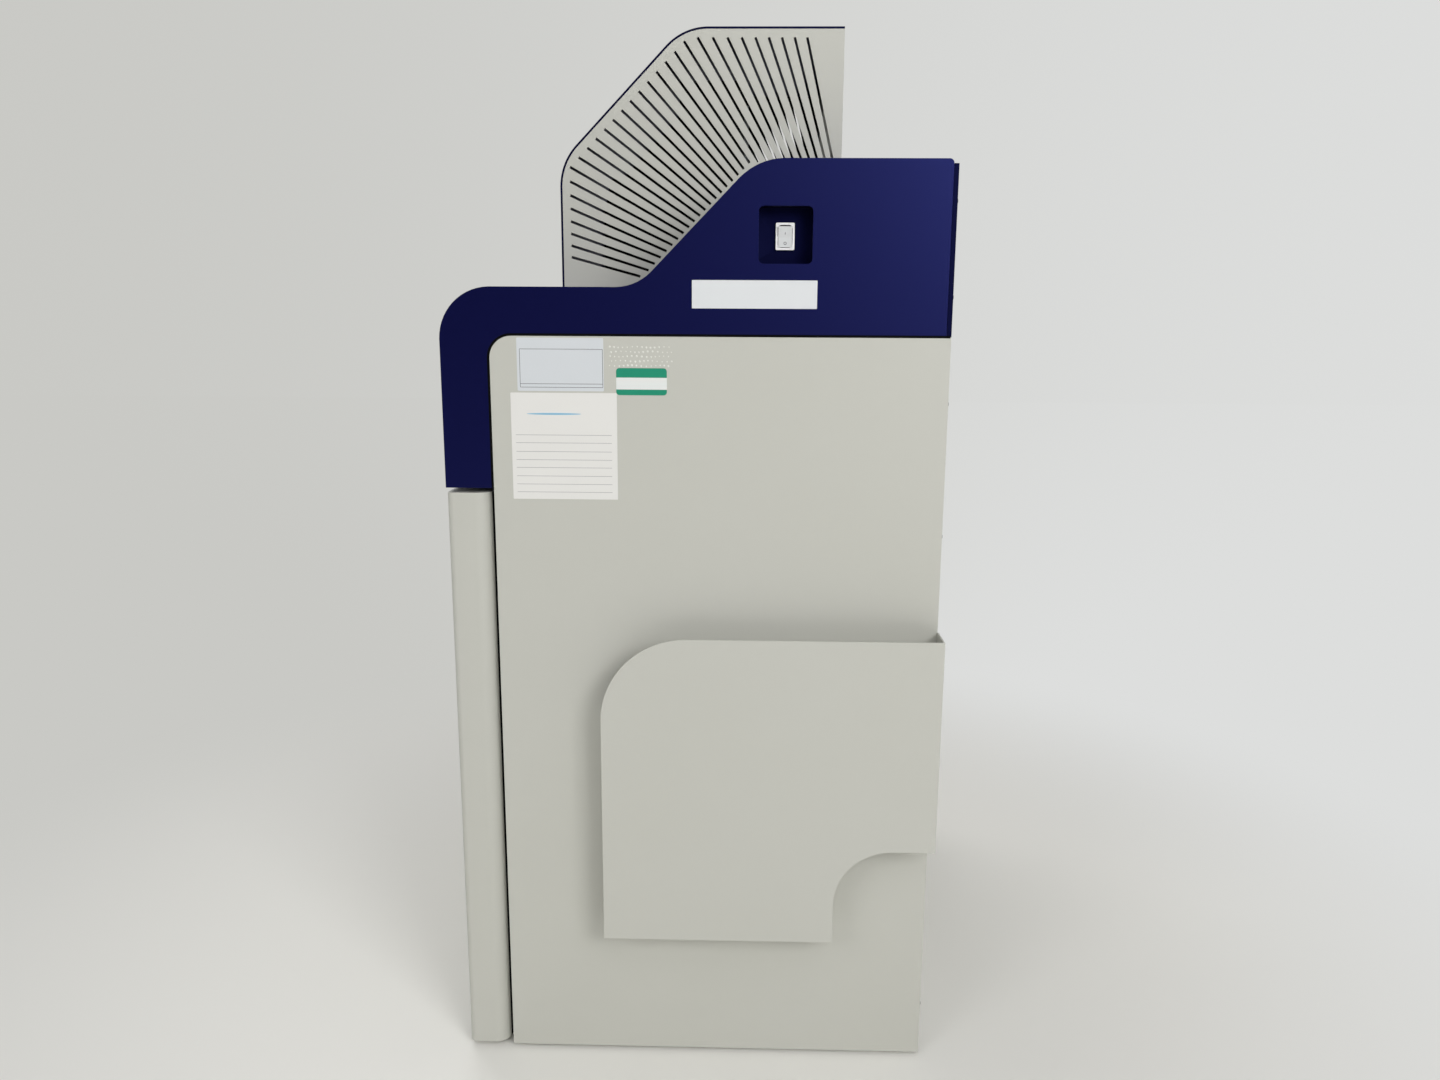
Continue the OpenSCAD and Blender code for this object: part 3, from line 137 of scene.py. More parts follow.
def makeFloor(s):
    bpy.ops.object.select_all(action="DESELECT")
    bpy.ops.mesh.primitive_plane_add(size=s["floorSize"], location=(0, 0, 0))
    floor = bpy.context.object
    floor.name = "floor"
    made, tree = newTree("matt painted floor")
    shader = addNode(tree, "ShaderNodeBsdfPrincipled",
                     {"Base Color": linear(s["floor"]), "Roughness": 0.9, "Specular IOR Level": 0.1})
    # away from the object the floor takes the backdrop's tone, so that no horizon shows
    place = addNode(tree, "ShaderNodeTexCoord").outputs["Object"]
    away = addNode(tree, "ShaderNodeVectorMath", operation="LENGTH", links={0: place})
    fade = addNode(tree, "ShaderNodeMapRange", {"From Min": s["fadeFrom"], "From Max": s["fadeTo"]},
                   {"Value": away.outputs["Value"]}, interpolation_type="SMOOTHSTEP")
    share = addNode(tree, "ShaderNodeMath", operation="MULTIPLY",
                    links={0: fade.outputs[0], 1: paleWhereSeen(tree)})
    heading = addNode(tree, "ShaderNodeVectorMath", operation="NORMALIZE",
                      links={0: place}).outputs["Vector"]
    pale = addNode(tree, "ShaderNodeEmission", {"Strength": 1.0}, {"Color": backdropTone(tree, heading)})
    mix = addNode(tree, "ShaderNodeMixShader",
                  links={0: share.outputs[0], 1: shader.outputs[0], 2: pale.outputs[0]})
    addNode(tree, "ShaderNodeOutputMaterial", links={"Surface": mix.outputs[0]})
    floor.data.materials.append(made)


def hangLamps(lamps):
    for lamp in lamps:
        aim = Vector(lamp["aim"]) - Vector(lamp["place"])
        bpy.ops.object.light_add(type="AREA", location=lamp["place"],
                                 rotation=aim.to_track_quat("-Z", "Y").to_euler())
        light = bpy.context.object
        light.name = lamp["name"]
        light.data.size = lamp["size"]
        light.data.energy = lamp["watts"]
        light.visible_glossy = lamp["sheen"]


def makeDarkCard(s):
    # a dark card that only gloss sees keeps the left of the navy cover deep, as an unlit part of a room does
    bpy.ops.mesh.primitive_plane_add(size=1, location=s["cardPlace"], rotation=(0, math.radians(-90), 0))
    board = bpy.context.object
    board.name = "darkCard"
    board.scale = (s["cardSize"][0], s["cardSize"][1], 1)
    made, tree = newTree("black felt")
    shader = addNode(tree, "ShaderNodeBsdfDiffuse", {"Color": linear(s["felt"])})
    addNode(tree, "ShaderNodeOutputMaterial", links={"Surface": shader.outputs[0]})
    board.data.materials.append(made)
    board.visible_camera = board.visible_diffuse = board.visible_shadow = False
    board.visible_transmission = board.visible_volume_scatter = False


def makeWorld(s):
    # an even white fill on the object, and the backdrop's tone where the world itself is seen
    world = bpy.data.worlds.new("studio")
    bpy.context.scene.world = world
    world.use_nodes = True
    tree = world.node_tree
    tree.nodes.clear()
    fill = addNode(tree, "ShaderNodeBackground", {"Color": linear(s["fillColour"]), "Strength": s["fill"]})
    heading = addNode(tree, "ShaderNodeTexCoord").outputs["Generated"]
    seen = addNode(tree, "ShaderNodeBackground", {"Strength": 1.0}, {"Color": backdropTone(tree, heading)})
    mix = addNode(tree, "ShaderNodeMixShader",
                  links={0: paleWhereSeen(tree), 1: fill.outputs[0], 2: seen.outputs[0]})
    addNode(tree, "ShaderNodeOutputWorld", links={"Surface": mix.outputs[0]})
    bpy.context.scene.view_settings.view_transform = "Standard"


makeFloor(studio)
hangLamps(studio["lamps"])
makeDarkCard(studio)
makeWorld(studio)
print("studio ready")

# what all painted and moulded skins share: their fine noise, their slow noise and the spread of their polish
skin = {"detail": 3.0, "broken": 0.55, "slowScale": 4.0, "slowDetail": 2.0, "polish": 0.04}


def coated(name, colour, roughness, grain, depth, tint, specular=0.5, metallic=0.0, coat=0.0,
           sheen="#ffffff"):
    # a grain of the given size and depth in mm, and a slow change of tone from colour to tint
    made, tree = newTree(name)
    place = addNode(tree, "ShaderNodeTexCoord").outputs["Object"]
    fine = addNode(tree, "ShaderNodeTexNoise",
                   {"Scale": 1 / (grain * mm), "Detail": skin["detail"], "Roughness": skin["broken"]},
                   {"Vector": place})
    slow = addNode(tree, "ShaderNodeTexNoise", {"Scale": skin["slowScale"], "Detail": skin["slowDetail"]},
                   {"Vector": place})
    tone = addNode(tree, "ShaderNodeMixRGB", {"Color1": linear(colour), "Color2": linear(tint)},
                   {"Fac": slow.outputs["Fac"]})
    polish = addNode(tree, "ShaderNodeMapRange",
                     {"To Min": roughness - skin["polish"], "To Max": roughness + skin["polish"]},
                     {"Value": fine.outputs["Fac"]})
    bump = addNode(tree, "ShaderNodeBump", {"Strength": 1.0, "Distance": depth * mm},
                   {"Height": fine.outputs["Fac"]})
    shader = addNode(tree, "ShaderNodeBsdfPrincipled",
                     {"Specular IOR Level": specular, "Metallic": metallic, "Coat Weight": coat,
                      "Specular Tint": linear(sheen)},
                     {"Base Color": tone.outputs[0], "Roughness": polish.outputs[0],
                      "Normal": bump.outputs[0]})
    addNode(tree, "ShaderNodeOutputMaterial", links={"Surface": shader.outputs[0]})
    return made


# each finish: its name, colour, roughness, the size and depth of its grain in mm, and the tone it drifts to
finishes = {
    # baked powder: a faint orange peel and a soft sheen
    "beige_powder_coat": coated("beige powder coat on steel", "#c3c3bc", 0.42, 1.1, 0.012, "#c0c0b7"),
    # sprayed satin lacquer: a deep colour with bluish highlights
    "navy_cover": coated("satin navy paint on moulded cover", "#04042c", 0.4, 0.9, 0.01, "#05052e",
                         specular=0.92, sheen="#7884ff"),
    # thin sprayed paint: dull, so that the chamber swallows light
    "black_paint": coated("matt black paint on steel", "#17171a", 0.7, 0.9, 0.02, "#1b1b1d", specular=0.3),
    # bright plating: a blurred grey mirror
    "zinc_steel": coated("zinc plated sheet", "#b4b7ba", 0.38, 0.6, 0.006, "#a8abae", metallic=1.0),
    # blackened steel: dark, with a small bright highlight on each head
    "screw_steel": coated("blackened screw steel", "#3c3c3e", 0.4, 0.4, 0.006, "#4a4a4c", metallic=1.0),
    # moulded rubber: nearly no highlight
    "rubber_black": coated("black rubber", "#161616", 0.8, 0.7, 0.02, "#1c1c1c", specular=0.3),
    # cut foam: dull, with small open cells
    "seal_foam": coated("foam strip", "#1b1b1d", 0.95, 0.5, 0.06, "#222224", specular=0.2),
    # injection moulded switch parts: smooth, with a clear highlight
    "white_plastic": coated("white switch plastic", "#dcdedf", 0.35, 0.5, 0.004, "#d8dadb"),
    # printed film over the control panel: flat and half dull
    "grey_plastic": coated("grey overlay film", "#33343c", 0.5, 0.5, 0.008, "#30313a"),
    # spark eroded mould: an even fine grain
    "black_plastic": coated("black moulded plastic", "#161617", 0.5, 0.6, 0.012, "#1b1b1c"),
    # lacquer over copper and glass fibre: glossy, a little uneven
    "board_green": coated("green solder mask", "#0f4a26", 0.35, 1.5, 0.006, "#0c3f20"),
    # moulded clear plastic: nearly polished
    "light_pipe": coated("clear green light pipe", "#49b35c", 0.2, 1.0, 0.002, "#4cba60"),
    # dyed oxide on turned metal: dark, with a metal's sheen
    "camera_aluminium": coated("black anodised aluminium", "#1f1f21", 0.42, 0.3, 0.006, "#242426",
                               metallic=0.6),
    # polished glass with a coating: a deep blue mirror
    "lens_glass": coated("coated lens glass", "#26344f", 0.04, 5.0, 0.0005, "#2c3350",
                         specular=0.8, coat=1.0),
    # dyed glass, polished
    "filter_glass": coated("orange filter glass", "#a8521c", 0.06, 5.0, 0.0005, "#9c4a18",
                           specular=0.7, coat=1.0),
    # nearly black glass that lets violet through, polished
    "uv_glass": coated("violet filter glass", "#1b1026", 0.08, 5.0, 0.0005, "#22142f",
                       specular=0.7, coat=1.0),
    # white powder behind glass: pale and glossy
    "tube_glass": coated("phosphor coated lamp tube", "#e4e4ea", 0.15, 3.0, 0.001, "#dfdfe6"),
    # cast sheet: milky, with a soft gloss
    "platform_white": coated("opal acrylic sheet", "#e6e6e4", 0.28, 2.0, 0.001, "#e2e2e0"),
    # pressed and ground powder: dark grey, dull
    "magnet": coated("ferrite magnet", "#28282a", 0.6, 0.5, 0.01, "#303032"),
    # sprayed texture paint: a coarse grain that breaks up the light
    "grey_steel": coated("grey textured paint", "#3a3b40", 0.6, 0.8, 0.03, "#36373c"),
}
# painted shade: a dull black that stands for the shadow in the gap behind the door and for the shadow line
# under the navy cover's edge
gapShadeBlack = coated("black painted gap shade", "#070708", 0.9, 0.5, 0.01, "#09090b", specular=0.1)
# painted shade: a darker, duller navy for the switch recess and for the edge faces of the hood wrap and the
# rear top cover
shadedNavy = coated("navy with painted shade", "#02021c", 0.6, 0.9, 0.01, "#03031f",
                  specular=0.3, sheen="#7884ff")
for node, obj in nodes.items():
    for place in range(len(obj.material_slots)):
        obj.material_slots[place].material = finishes[slotOf[node]]
print("finishes made", len(finishes))

# how wide the edges of folded and moulded parts are rounded, in mm; 0 keeps them sharp
edges = {"right_side_panel": 1.0, "left_side_panel": 1.0, "door_shell": 0.9, "top_cover": 0.9,
         "hood_wrap": 0.12, "side_pocket": 0.4, "rear_top_cover": 0.6, "rear_panel": 0.3,
         "switch_housing": 0.3, "switch_rocker": 0.7, "mains_inlet": 0.5, "camera_body": 0.5,
         "light_table": 0.8, "pull_out_tray": 0.4, "sample_platform": 0.6, "rubber_feet": 0.8,
         "control_panel": 0.4, "overhead_lamps": 0.7, "filter_motor": 0.6, "base_plate": 0.6,
         "door_liner": 0.5, "hood_rear_panel": 0.3, "camera_bracket": 0.5, "white_light_button": 0.5,
         "uv_light_button": 0.5, "table_light_button": 0.5, "filter_button": 0.5, "hood_right_side": 0,
         "hood_left_side": 0}
# corners closer than merge, in mm, become one, and faces within the angle flat join
rounding = {"merge": 0.01, "flat": math.radians(0.5), "crease": math.radians(32), "steps": 3}


def selectOnly(obj):
    bpy.ops.object.select_all(action="DESELECT")
    obj.select_set(True)
    bpy.context.view_layer.objects.active = obj


def roundedCopy(node, width):
    piece = nodes[node].copy()
    piece.data = nodes[node].data.copy()
    for key in [k for k in piece.keys() if k.startswith("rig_")]:  # the copy isn't a CAD node
        del piece[key]
    piece.parent = None
    piece.name = node + "_rounded"
    bpy.context.scene.collection.objects.link(piece)
    selectOnly(piece)
    bpy.ops.object.mode_set(mode="EDIT")
    bpy.ops.mesh.select_all(action="SELECT")
    bpy.ops.mesh.remove_doubles(threshold=rounding["merge"] * mm)
    bpy.ops.mesh.dissolve_limited(angle_limit=rounding["flat"])
    bpy.ops.object.mode_set(mode="OBJECT")
    bpy.ops.object.shade_smooth_by_angle(angle=rounding["crease"])
    if width:
        soft = piece.modifiers.new("edges", "BEVEL")
        soft.width = width * mm
        soft.segments = rounding["steps"]
        soft.limit_method = "ANGLE"
        soft.angle_limit = rounding["crease"]
        soft.harden_normals = True
        bpy.ops.object.modifier_apply(modifier=soft.name)
    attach(piece, bodyOf[node])
    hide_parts(node)
    return piece


rounded = {node: roundedCopy(node, width) for node, width in edges.items()}
print("rounded", len(rounded), "pieces")

# where a piece gets a second finish, each of them painted shade: distances in mm, but recessFrom in metres
# facing is how far along X a face's normal has to point
second = {"doorBack": 0.6, "innerSkin": 0.1, "recessAcross": 23.0, "recessBehind": 1.2, "recessFrom": 0.2,
          "facing": 0.5}
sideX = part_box("right_side_panel")[1][0]  # the face that the labels lie on
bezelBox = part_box("switch_housing")
switchY, switchZ = ((bezelBox[0][i] + bezelBox[1][i]) / 2 for i in (1, 2))


def paintWhere(piece, finish, wanted):
    # gives the faces that wanted(face) picks a second finish
    piece.data.materials.append(finish)
    for face in piece.data.polygons:
        if wanted(face):
            face.material_index = len(piece.data.materials) - 1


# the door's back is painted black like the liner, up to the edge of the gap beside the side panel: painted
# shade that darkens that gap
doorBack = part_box("door_shell")[1][1]
paintWhere(rounded["door_shell"], gapShadeBlack, lambda face: face.center.y > doorBack - second["doorBack"] * mm)

# the hood sides' inner faces are painted black, as painted shade for the unlit inside of the hood, so that
# its slots read as black lines
for side, low in (("hood_right_side", 0), ("hood_left_side", 1)):
    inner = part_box(side)[low][0]
    paintWhere(rounded[side], finishes["black_paint"],
               lambda face: abs(face.center.x - inner) < second["innerSkin"] * mm)

# painted shade: the switch recess gets the darker, duller navy
paintWhere(rounded["top_cover"], shadedNavy,
           lambda face: abs(face.center.y - switchY) < second["recessAcross"] * mm
           and abs(face.center.z - switchZ) < second["recessAcross"] * mm
           and second["recessFrom"] < face.center.x < sideX - second["recessBehind"] * mm)
# painted shade: the edge faces of the hood wrap and the rear top cover that face along X get the darker navy
for piece in ("hood_wrap", "rear_top_cover"):
    paintWhere(rounded[piece], shadedNavy, lambda face: abs(face.normal.x) > second["facing"])
# painted shade: the switch housing's front faces are grey, so that the gap round the rocker reads as a grey
# line
paintWhere(rounded["switch_housing"], finishes["grey_plastic"],
           lambda face: face.normal.x > second["facing"])
print("second finishes painted")

# films, card, inks and glue of the labels
paper = {
    # printed film: cool white with a clear gloss
    "ratingFilm": coated("bluish white polyester label film", "#d5d9dc", 0.32, 0.8, 0.002, "#d1d5d9"),
    # pressed fibres: dull and warm
    "card": coated("uncoated white card", "#e3e2df", 0.75, 0.4, 0.006, "#dfdeda"),
    # soft film: white, half glossy
    "testFilm": coated("white vinyl label", "#e6e8e6", 0.35, 0.8, 0.002, "#e1e3e1"),
    # film over print: smooth and glossy
    "stripFilm": coated("white laminated tape", "#dfe1e3", 0.3, 0.8, 0.002, "#dbdee0"),
    # inks lie in a thin even layer and take the gloss of what is under them
    "greyInk": coated("grey printing ink", "#8d8d8f", 0.5, 0.3, 0.001, "#98989a"),
    "darkInk": coated("dark printing ink", "#4b4c52", 0.5, 0.3, 0.001, "#55565c"),
    "blueInk": coated("light blue printing ink", "#7fb3d2", 0.5, 0.3, 0.001, "#8dbcd6"),
    "greenInk": coated("green printing ink", "#118a6a", 0.4, 0.3, 0.001, "#1b9072"),
    # dried adhesive: pale and shiny
    "residue": coated("dried glue residue", "#e4e4df", 0.25, 0.5, 0.01, "#d9d9d2"),
}
cornerSteps = 6  # facets of a small round corner
tubeAngle = math.radians(60)  # round things of few facets are smoothed up to this angle


def upright(x, y, z, wide, high):
    # a plane that faces +X, in metres, with its place and size in its mesh
    bpy.ops.object.select_all(action="DESELECT")
    bpy.ops.mesh.primitive_plane_add(size=1, location=(x, y, z), rotation=(0, math.radians(90), 0))
    sheet = bpy.context.object
    sheet.scale = (high, wide, 1)
    bpy.ops.object.transform_apply(location=True, rotation=True, scale=True)
    return sheet


def thicken(depth):
    # gives the sheet in edit mode its thickness towards +X, in mm, and leaves edit mode
    bpy.ops.mesh.select_all(action="SELECT")
    bpy.ops.mesh.extrude_region_move(TRANSFORM_OT_translate={"value": (depth * mm, 0, 0)})
    bpy.ops.mesh.select_all(action="SELECT")
    bpy.ops.mesh.normals_make_consistent(inside=False)
    bpy.ops.object.mode_set(mode="OBJECT")


def joined(parts):
    bpy.ops.object.select_all(action="DESELECT")
    for part in parts:
        part.select_set(True)
    bpy.context.view_layer.objects.active = parts[0]
    bpy.ops.object.join()
    return bpy.context.object


def onePiece(name, parts, body="cabinet"):
    piece = joined(parts)
    bpy.ops.object.transform_apply(location=True, rotation=True, scale=True)
    piece.name = name
    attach(piece, body)
    return piece


def flat(y, z, x, thick, finish, corner=0.0):
    # a sheet that lies on a face towards +X; y and z give its edges in mm, and x the face in metres
    sheet = upright(x, sum(y) / 2 * mm, sum(z) / 2 * mm, (y[1] - y[0]) * mm, (z[1] - z[0]) * mm)
    bpy.ops.object.mode_set(mode="EDIT")
    bpy.ops.mesh.select_all(action="SELECT")
    if corner:
        bpy.ops.mesh.bevel(offset=corner * mm, segments=cornerSteps, affect="VERTICES")
    thicken(thick)
    sheet.data.materials.append(paper[finish])
    return sheet


# labels in mm, bare but for plain rules, frames and bands; y and z are the edges of each
ink = 0.02  # how far a print stands over its paper, so that the two don't share a plane
ratingLabel = {"y": (-139.7, -71.1), "z": (586.6, 628.2), "thick": 0.12, "corner": 1.0,
               "frameY": (-137.4, -71.9), "frameZ": (589.6, 619.4), "line": 0.35, "rule": 592.3}


def makeRatingLabel(d):
    top = sideX + d["thick"] * mm
    half = d["line"] / 2
    low, high = d["frameZ"]
    parts = [flat(d["y"], d["z"], sideX, d["thick"], "ratingFilm", d["corner"])]
    for level in (low, d["rule"], high):
        parts.append(flat(d["frameY"], (level - half, level + half), top, ink, "darkInk"))
    for side in d["frameY"]:
        parts.append(flat((side - half, side + half), d["frameZ"], top, ink, "darkInk"))
    return onePiece("rating_label", parts)


serviceCard = {"y": (-145.6, -61.0), "z": (500.0, 585.3), "thick": 0.3, "corner": 0.6, "line": 0.3,
               "rules": (551.8, 545.5, 538.5, 531.9, 525.6, 518.8, 512.2, 505.8), "ruleY": (-142.2, -65.4),
               "bandY": (-132.9, -89.5), "bandZ": 568.6, "bandHeight": 1.6, "bandSteps": 40}


def makeServiceCard(d):
    top = sideX + d["thick"] * mm
    half = d["line"] / 2
    parts = [flat(d["y"], d["z"], sideX, d["thick"], "card", d["corner"])]
    for level in d["rules"]:
        parts.append(flat(d["ruleY"], (level - half, level + half), top, ink, "greyInk"))
    # the band under the heading is a long flat oval
    left, right = d["bandY"]
    bpy.ops.object.select_all(action="DESELECT")
    bpy.ops.mesh.primitive_circle_add(vertices=d["bandSteps"], radius=0.5, fill_type="NGON",
                                      rotation=(0, math.radians(90), 0),
                                      location=(top, (left + right) / 2 * mm, d["bandZ"] * mm))
    oval = bpy.context.object
    oval.scale = (d["bandHeight"] * mm, (right - left) * mm, 1)
    bpy.ops.object.transform_apply(location=True, rotation=True, scale=True)
    bpy.ops.object.mode_set(mode="EDIT")
    thicken(ink)
    oval.data.materials.append(paper["blueInk"])
    return onePiece("service_card", parts + [oval])


# top and bottom are the shares of the height that are green
testLabel = {"y": (-61.3, -21.2), "z": (583.8, 605.0), "thick": 0.14, "corner": 2.6,
             "top": 0.35, "bottom": 0.21}


def makeTestLabel(d):
    # three bands of one rounded label: green, white and green
    label = flat(d["y"], d["z"], sideX, d["thick"], "testFilm", d["corner"])
    low, high = d["z"]
    levels = [low + d["bottom"] * (high - low), high - d["top"] * (high - low)]
    bpy.ops.object.mode_set(mode="EDIT")
    for level in levels:
        bpy.ops.mesh.select_all(action="SELECT")
        bpy.ops.mesh.bisect(plane_co=(0, 0, level * mm), plane_no=(0, 0, 1))
    bpy.ops.object.mode_set(mode="OBJECT")
    label.data.materials.append(paper["greenInk"])
    for face in label.data.polygons:
        if not levels[0] * mm < face.center.z < levels[1] * mm:
            face.material_index = 1
    return onePiece("test_label", [label])


tape = {"y": (-1.5, 95.6), "z": (651.3, 672.8), "thick": 0.16, "corner": 0.4}


def makeTape(d):
    return onePiece("blank_tape", [flat(d["y"], d["z"], sideX, d["thick"], "stripFilm", d["corner"])])


labels = [makeRatingLabel(ratingLabel), makeServiceCard(serviceCard), makeTestLabel(testLabel),
          makeTape(tape)]
print("labels made", len(labels))

# glue residue beside the labels, in rows of small dried dots; the waves make the dots uneven
residue = {"y": (-66.4, -18.6), "z": (606.8, 623.6), "pitch": 3.6,
           "radius": 0.9, "height": 0.2, "steps": 8,
           "least": 0.55, "spread": 0.45, "taper": 0.55, "stagger": 0.5, "driftY": 0.5, "driftZ": 0.4,
           "sizeWave": (12.9, 78.2), "waveY": (7.1, 3.7), "waveZ": (5.3, -2.9)}


def wave(turns, column, row):
    return math.sin(turns[0] * column + turns[1] * row)


def makeResidue(d):
    dots = []
    rows = int((d["z"][1] - d["z"][0]) / d["pitch"])
    columns = int((d["y"][1] - d["y"][0]) / d["pitch"])
    for r in range(rows + 1):
        for c in range(columns + 1):
            size = d["radius"] * (d["least"] + d["spread"] * wave(d["sizeWave"], c, r) ** 2)
            y = d["y"][0] + (c + d["stagger"] * (r % 2)) * d["pitch"] + d["driftY"] * wave(d["waveY"], c, r)
            z = d["z"][0] + r * d["pitch"] + d["driftZ"] * wave(d["waveZ"], c, r)
            bpy.ops.object.select_all(action="DESELECT")
            bpy.ops.mesh.primitive_cone_add(vertices=d["steps"], radius1=size * mm,
                                            radius2=size * d["taper"] * mm, depth=d["height"] * mm,
                                            rotation=(0, math.radians(90), 0),
                                            location=(sideX + d["height"] / 2 * mm, y * mm, z * mm))
            dots.append(bpy.context.object)
            dots[-1].data.materials.append(paper["residue"])
    onePiece("glue_residue", dots)
    bpy.ops.object.shade_smooth_by_angle(angle=tubeAngle)


makeResidue(residue)
print("residue made")

# power switch in mm: a bezel plate with a rounded opening, a rounded rocker and its two marks
# outer and opening are width, height and corner radius; the marks lie above and below the pivot
switch = {"outer": (14.6, 20.6, 1.0), "opening": (11.5, 17.2, 2.8), "plate": 0.25,
          "rockerHalf": (5.4, 7.9), "corner": 2.2, "nearSide": 0.8, "nearEnd": 1.4, "shortest": 1.5,
          "along": 0.9, "tilt": 8.0, "pivotIn": 1.4, "middle": 2.5, "end": 3.6,
          "line": (0.05, 0.42, 1.7), "lineAt": 2.5,
          "ring": 0.95, "ringStroke": 0.42, "ringFlat": 0.3, "ringAt": -4.9, "ringSteps": (28, 6)}


def loopOf(width, height, corner, x, y, z):  # the outline of a rounded rectangle
    loop = upright(x, y, z, width * mm, height * mm)
    bpy.ops.object.mode_set(mode="EDIT")
    bpy.ops.mesh.select_all(action="SELECT")
    bpy.ops.mesh.bevel(offset=corner * mm, segments=cornerSteps, affect="VERTICES")
    bpy.ops.mesh.select_all(action="SELECT")
    bpy.ops.mesh.delete(type="ONLY_FACE")
    bpy.ops.object.mode_set(mode="OBJECT")
    return loop


def bridgeLoops(loops, thick):  # joins two outlines into one ring of sheet
    ring = joined(loops)
    bpy.ops.object.mode_set(mode="EDIT")
    bpy.ops.mesh.select_all(action="SELECT")
    bpy.ops.mesh.bridge_edge_loops()
    thicken(thick)
    return ring


def makeBezelPlate(d):
    plate = bridgeLoops([loopOf(*d[key], bezelBox[1][0], switchY, switchZ) for key in ("opening", "outer")],
                        d["plate"])
    plate.data.materials.append(coated("bright white bezel plastic", "#fafafa", 0.35, 0.5, 0.003, "#f7f7f8"))
    onePiece("bezel_plate", [plate])


def roundRockerCorners(rocker, d):
    # the four edges that run from front to back
    selectOnly(rocker)
    bpy.ops.object.mode_set(mode="EDIT")
    bpy.ops.mesh.select_mode(type="EDGE")
    bpy.ops.mesh.select_all(action="DESELECT")
    bpy.ops.object.mode_set(mode="OBJECT")
    points = rocker.data.vertices
    for edge in rocker.data.edges:
        a, b = (points[i].co for i in edge.vertices)
        along = (a - b).normalized()
        wide = min(abs(a.y - switchY), abs(b.y - switchY)) > (d["rockerHalf"][0] - d["nearSide"]) * mm
        high = min(abs(a.z - switchZ), abs(b.z - switchZ)) > (d["rockerHalf"][1] - d["nearEnd"]) * mm
        long = (a - b).length > d["shortest"] * mm
        edge.select = abs(along.x) > d["along"] and wide and high and long
    bpy.ops.object.mode_set(mode="EDIT")
    bpy.ops.mesh.bevel(offset=d["corner"] * mm, segments=cornerSteps, affect="EDGES")
    bpy.ops.object.mode_set(mode="OBJECT")
    bpy.ops.object.shade_smooth_by_angle(angle=rounding["crease"])


def lineMark(d):
    bpy.ops.object.select_all(action="DESELECT")
    bpy.ops.mesh.primitive_cube_add(size=1)
    mark = bpy.context.object
    mark.scale = [side * mm for side in d["line"]]
    bpy.ops.object.transform_apply(location=True, rotation=True, scale=True)
    return mark


def ringMark(d):
    bpy.ops.object.select_all(action="DESELECT")
    bpy.ops.mesh.primitive_torus_add(major_radius=d["ring"] * mm, minor_radius=d["ringStroke"] / 2 * mm,
                                     major_segments=d["ringSteps"][0], minor_segments=d["ringSteps"][1],
                                     rotation=(0, math.radians(90), 0))
    mark = bpy.context.object
    bpy.ops.object.transform_apply(location=False, rotation=True, scale=False)
    mark.scale = (d["ringFlat"], 1, 1)
    bpy.ops.object.transform_apply(location=True, rotation=True, scale=True)
    return mark


def markRocker(d):
    # the rocker's face has two slopes that meet at the pivot, and it stands tilted
    pivot = Vector((bezelBox[1][0] - d["pivotIn"] * mm, switchY, switchZ))
    turn = Matrix.Rotation(math.radians(d["tilt"]), 4, "Y")
    slope = math.atan((d["end"] - d["middle"]) / d["rockerHalf"][1])
    marks = [lineMark(d), ringMark(d)]
    for mark, at in zip(marks, (d["lineAt"], d["ringAt"])):
        lean = Matrix.Rotation(math.copysign(slope, at), 4, "Y")
        out = Matrix.Translation(((d["middle"] + abs(at) * math.tan(slope)) * mm, 0, at * mm))
        mark.data.transform(Matrix.Translation(pivot) @ turn @ out @ lean)
        mark.data.materials.append(paper["darkInk"])
    onePiece("rocker_marks", marks, body="power_rocker")


makeBezelPlate(switch)
roundRockerCorners(rounded["switch_rocker"], switch)
markRocker(switch)
print("switch made")

# black strip where the navy cover meets the side panel, a painted shadow for the shadow gap under the
# cover's edge: its outline, width and thickness in mm
seam = {"front": -161.3, "top": 629.5, "low": 508.6, "rear": 199.8, "corner": 17.5, "cornerSteps": 12,
        "wide": 2.0, "thick": 0.06, "near": 1.0}


def openOutline(front, top, corner, d):
    # the front edge, the rounded corner and the top edge, seen from the side
    line = upright(0, (front + d["rear"]) / 2 * mm, (top + d["low"]) / 2 * mm,
                   (d["rear"] - front) * mm, (top - d["low"]) * mm)
    points = line.data.vertices
    bpy.ops.object.mode_set(mode="EDIT")
    bpy.ops.mesh.select_mode(type="VERT")
    bpy.ops.mesh.select_all(action="DESELECT")
    bpy.ops.object.mode_set(mode="OBJECT")
    for point in points:
        point.select = point.co.y < 0 and point.co.z > (top - d["near"]) * mm
    bpy.ops.object.mode_set(mode="EDIT")
    bpy.ops.mesh.bevel(offset=corner * mm, segments=d["cornerSteps"], affect="VERTICES")
    bpy.ops.mesh.select_all(action="SELECT")
    bpy.ops.mesh.delete(type="ONLY_FACE")
    bpy.ops.mesh.select_mode(type="EDGE")
    bpy.ops.mesh.select_all(action="DESELECT")
    bpy.ops.object.mode_set(mode="OBJECT")
    for edge in line.data.edges:  # the bottom and the rear edge go
        ends = [line.data.vertices[k].co for k in edge.vertices]
        edge.select = (max(e.z for e in ends) < (d["low"] + d["near"]) * mm
                       or min(e.y for e in ends) > (d["rear"] - d["near"]) * mm)
    bpy.ops.object.mode_set(mode="EDIT")
    bpy.ops.mesh.delete(type="EDGE")
    bpy.ops.object.mode_set(mode="OBJECT")
    return line


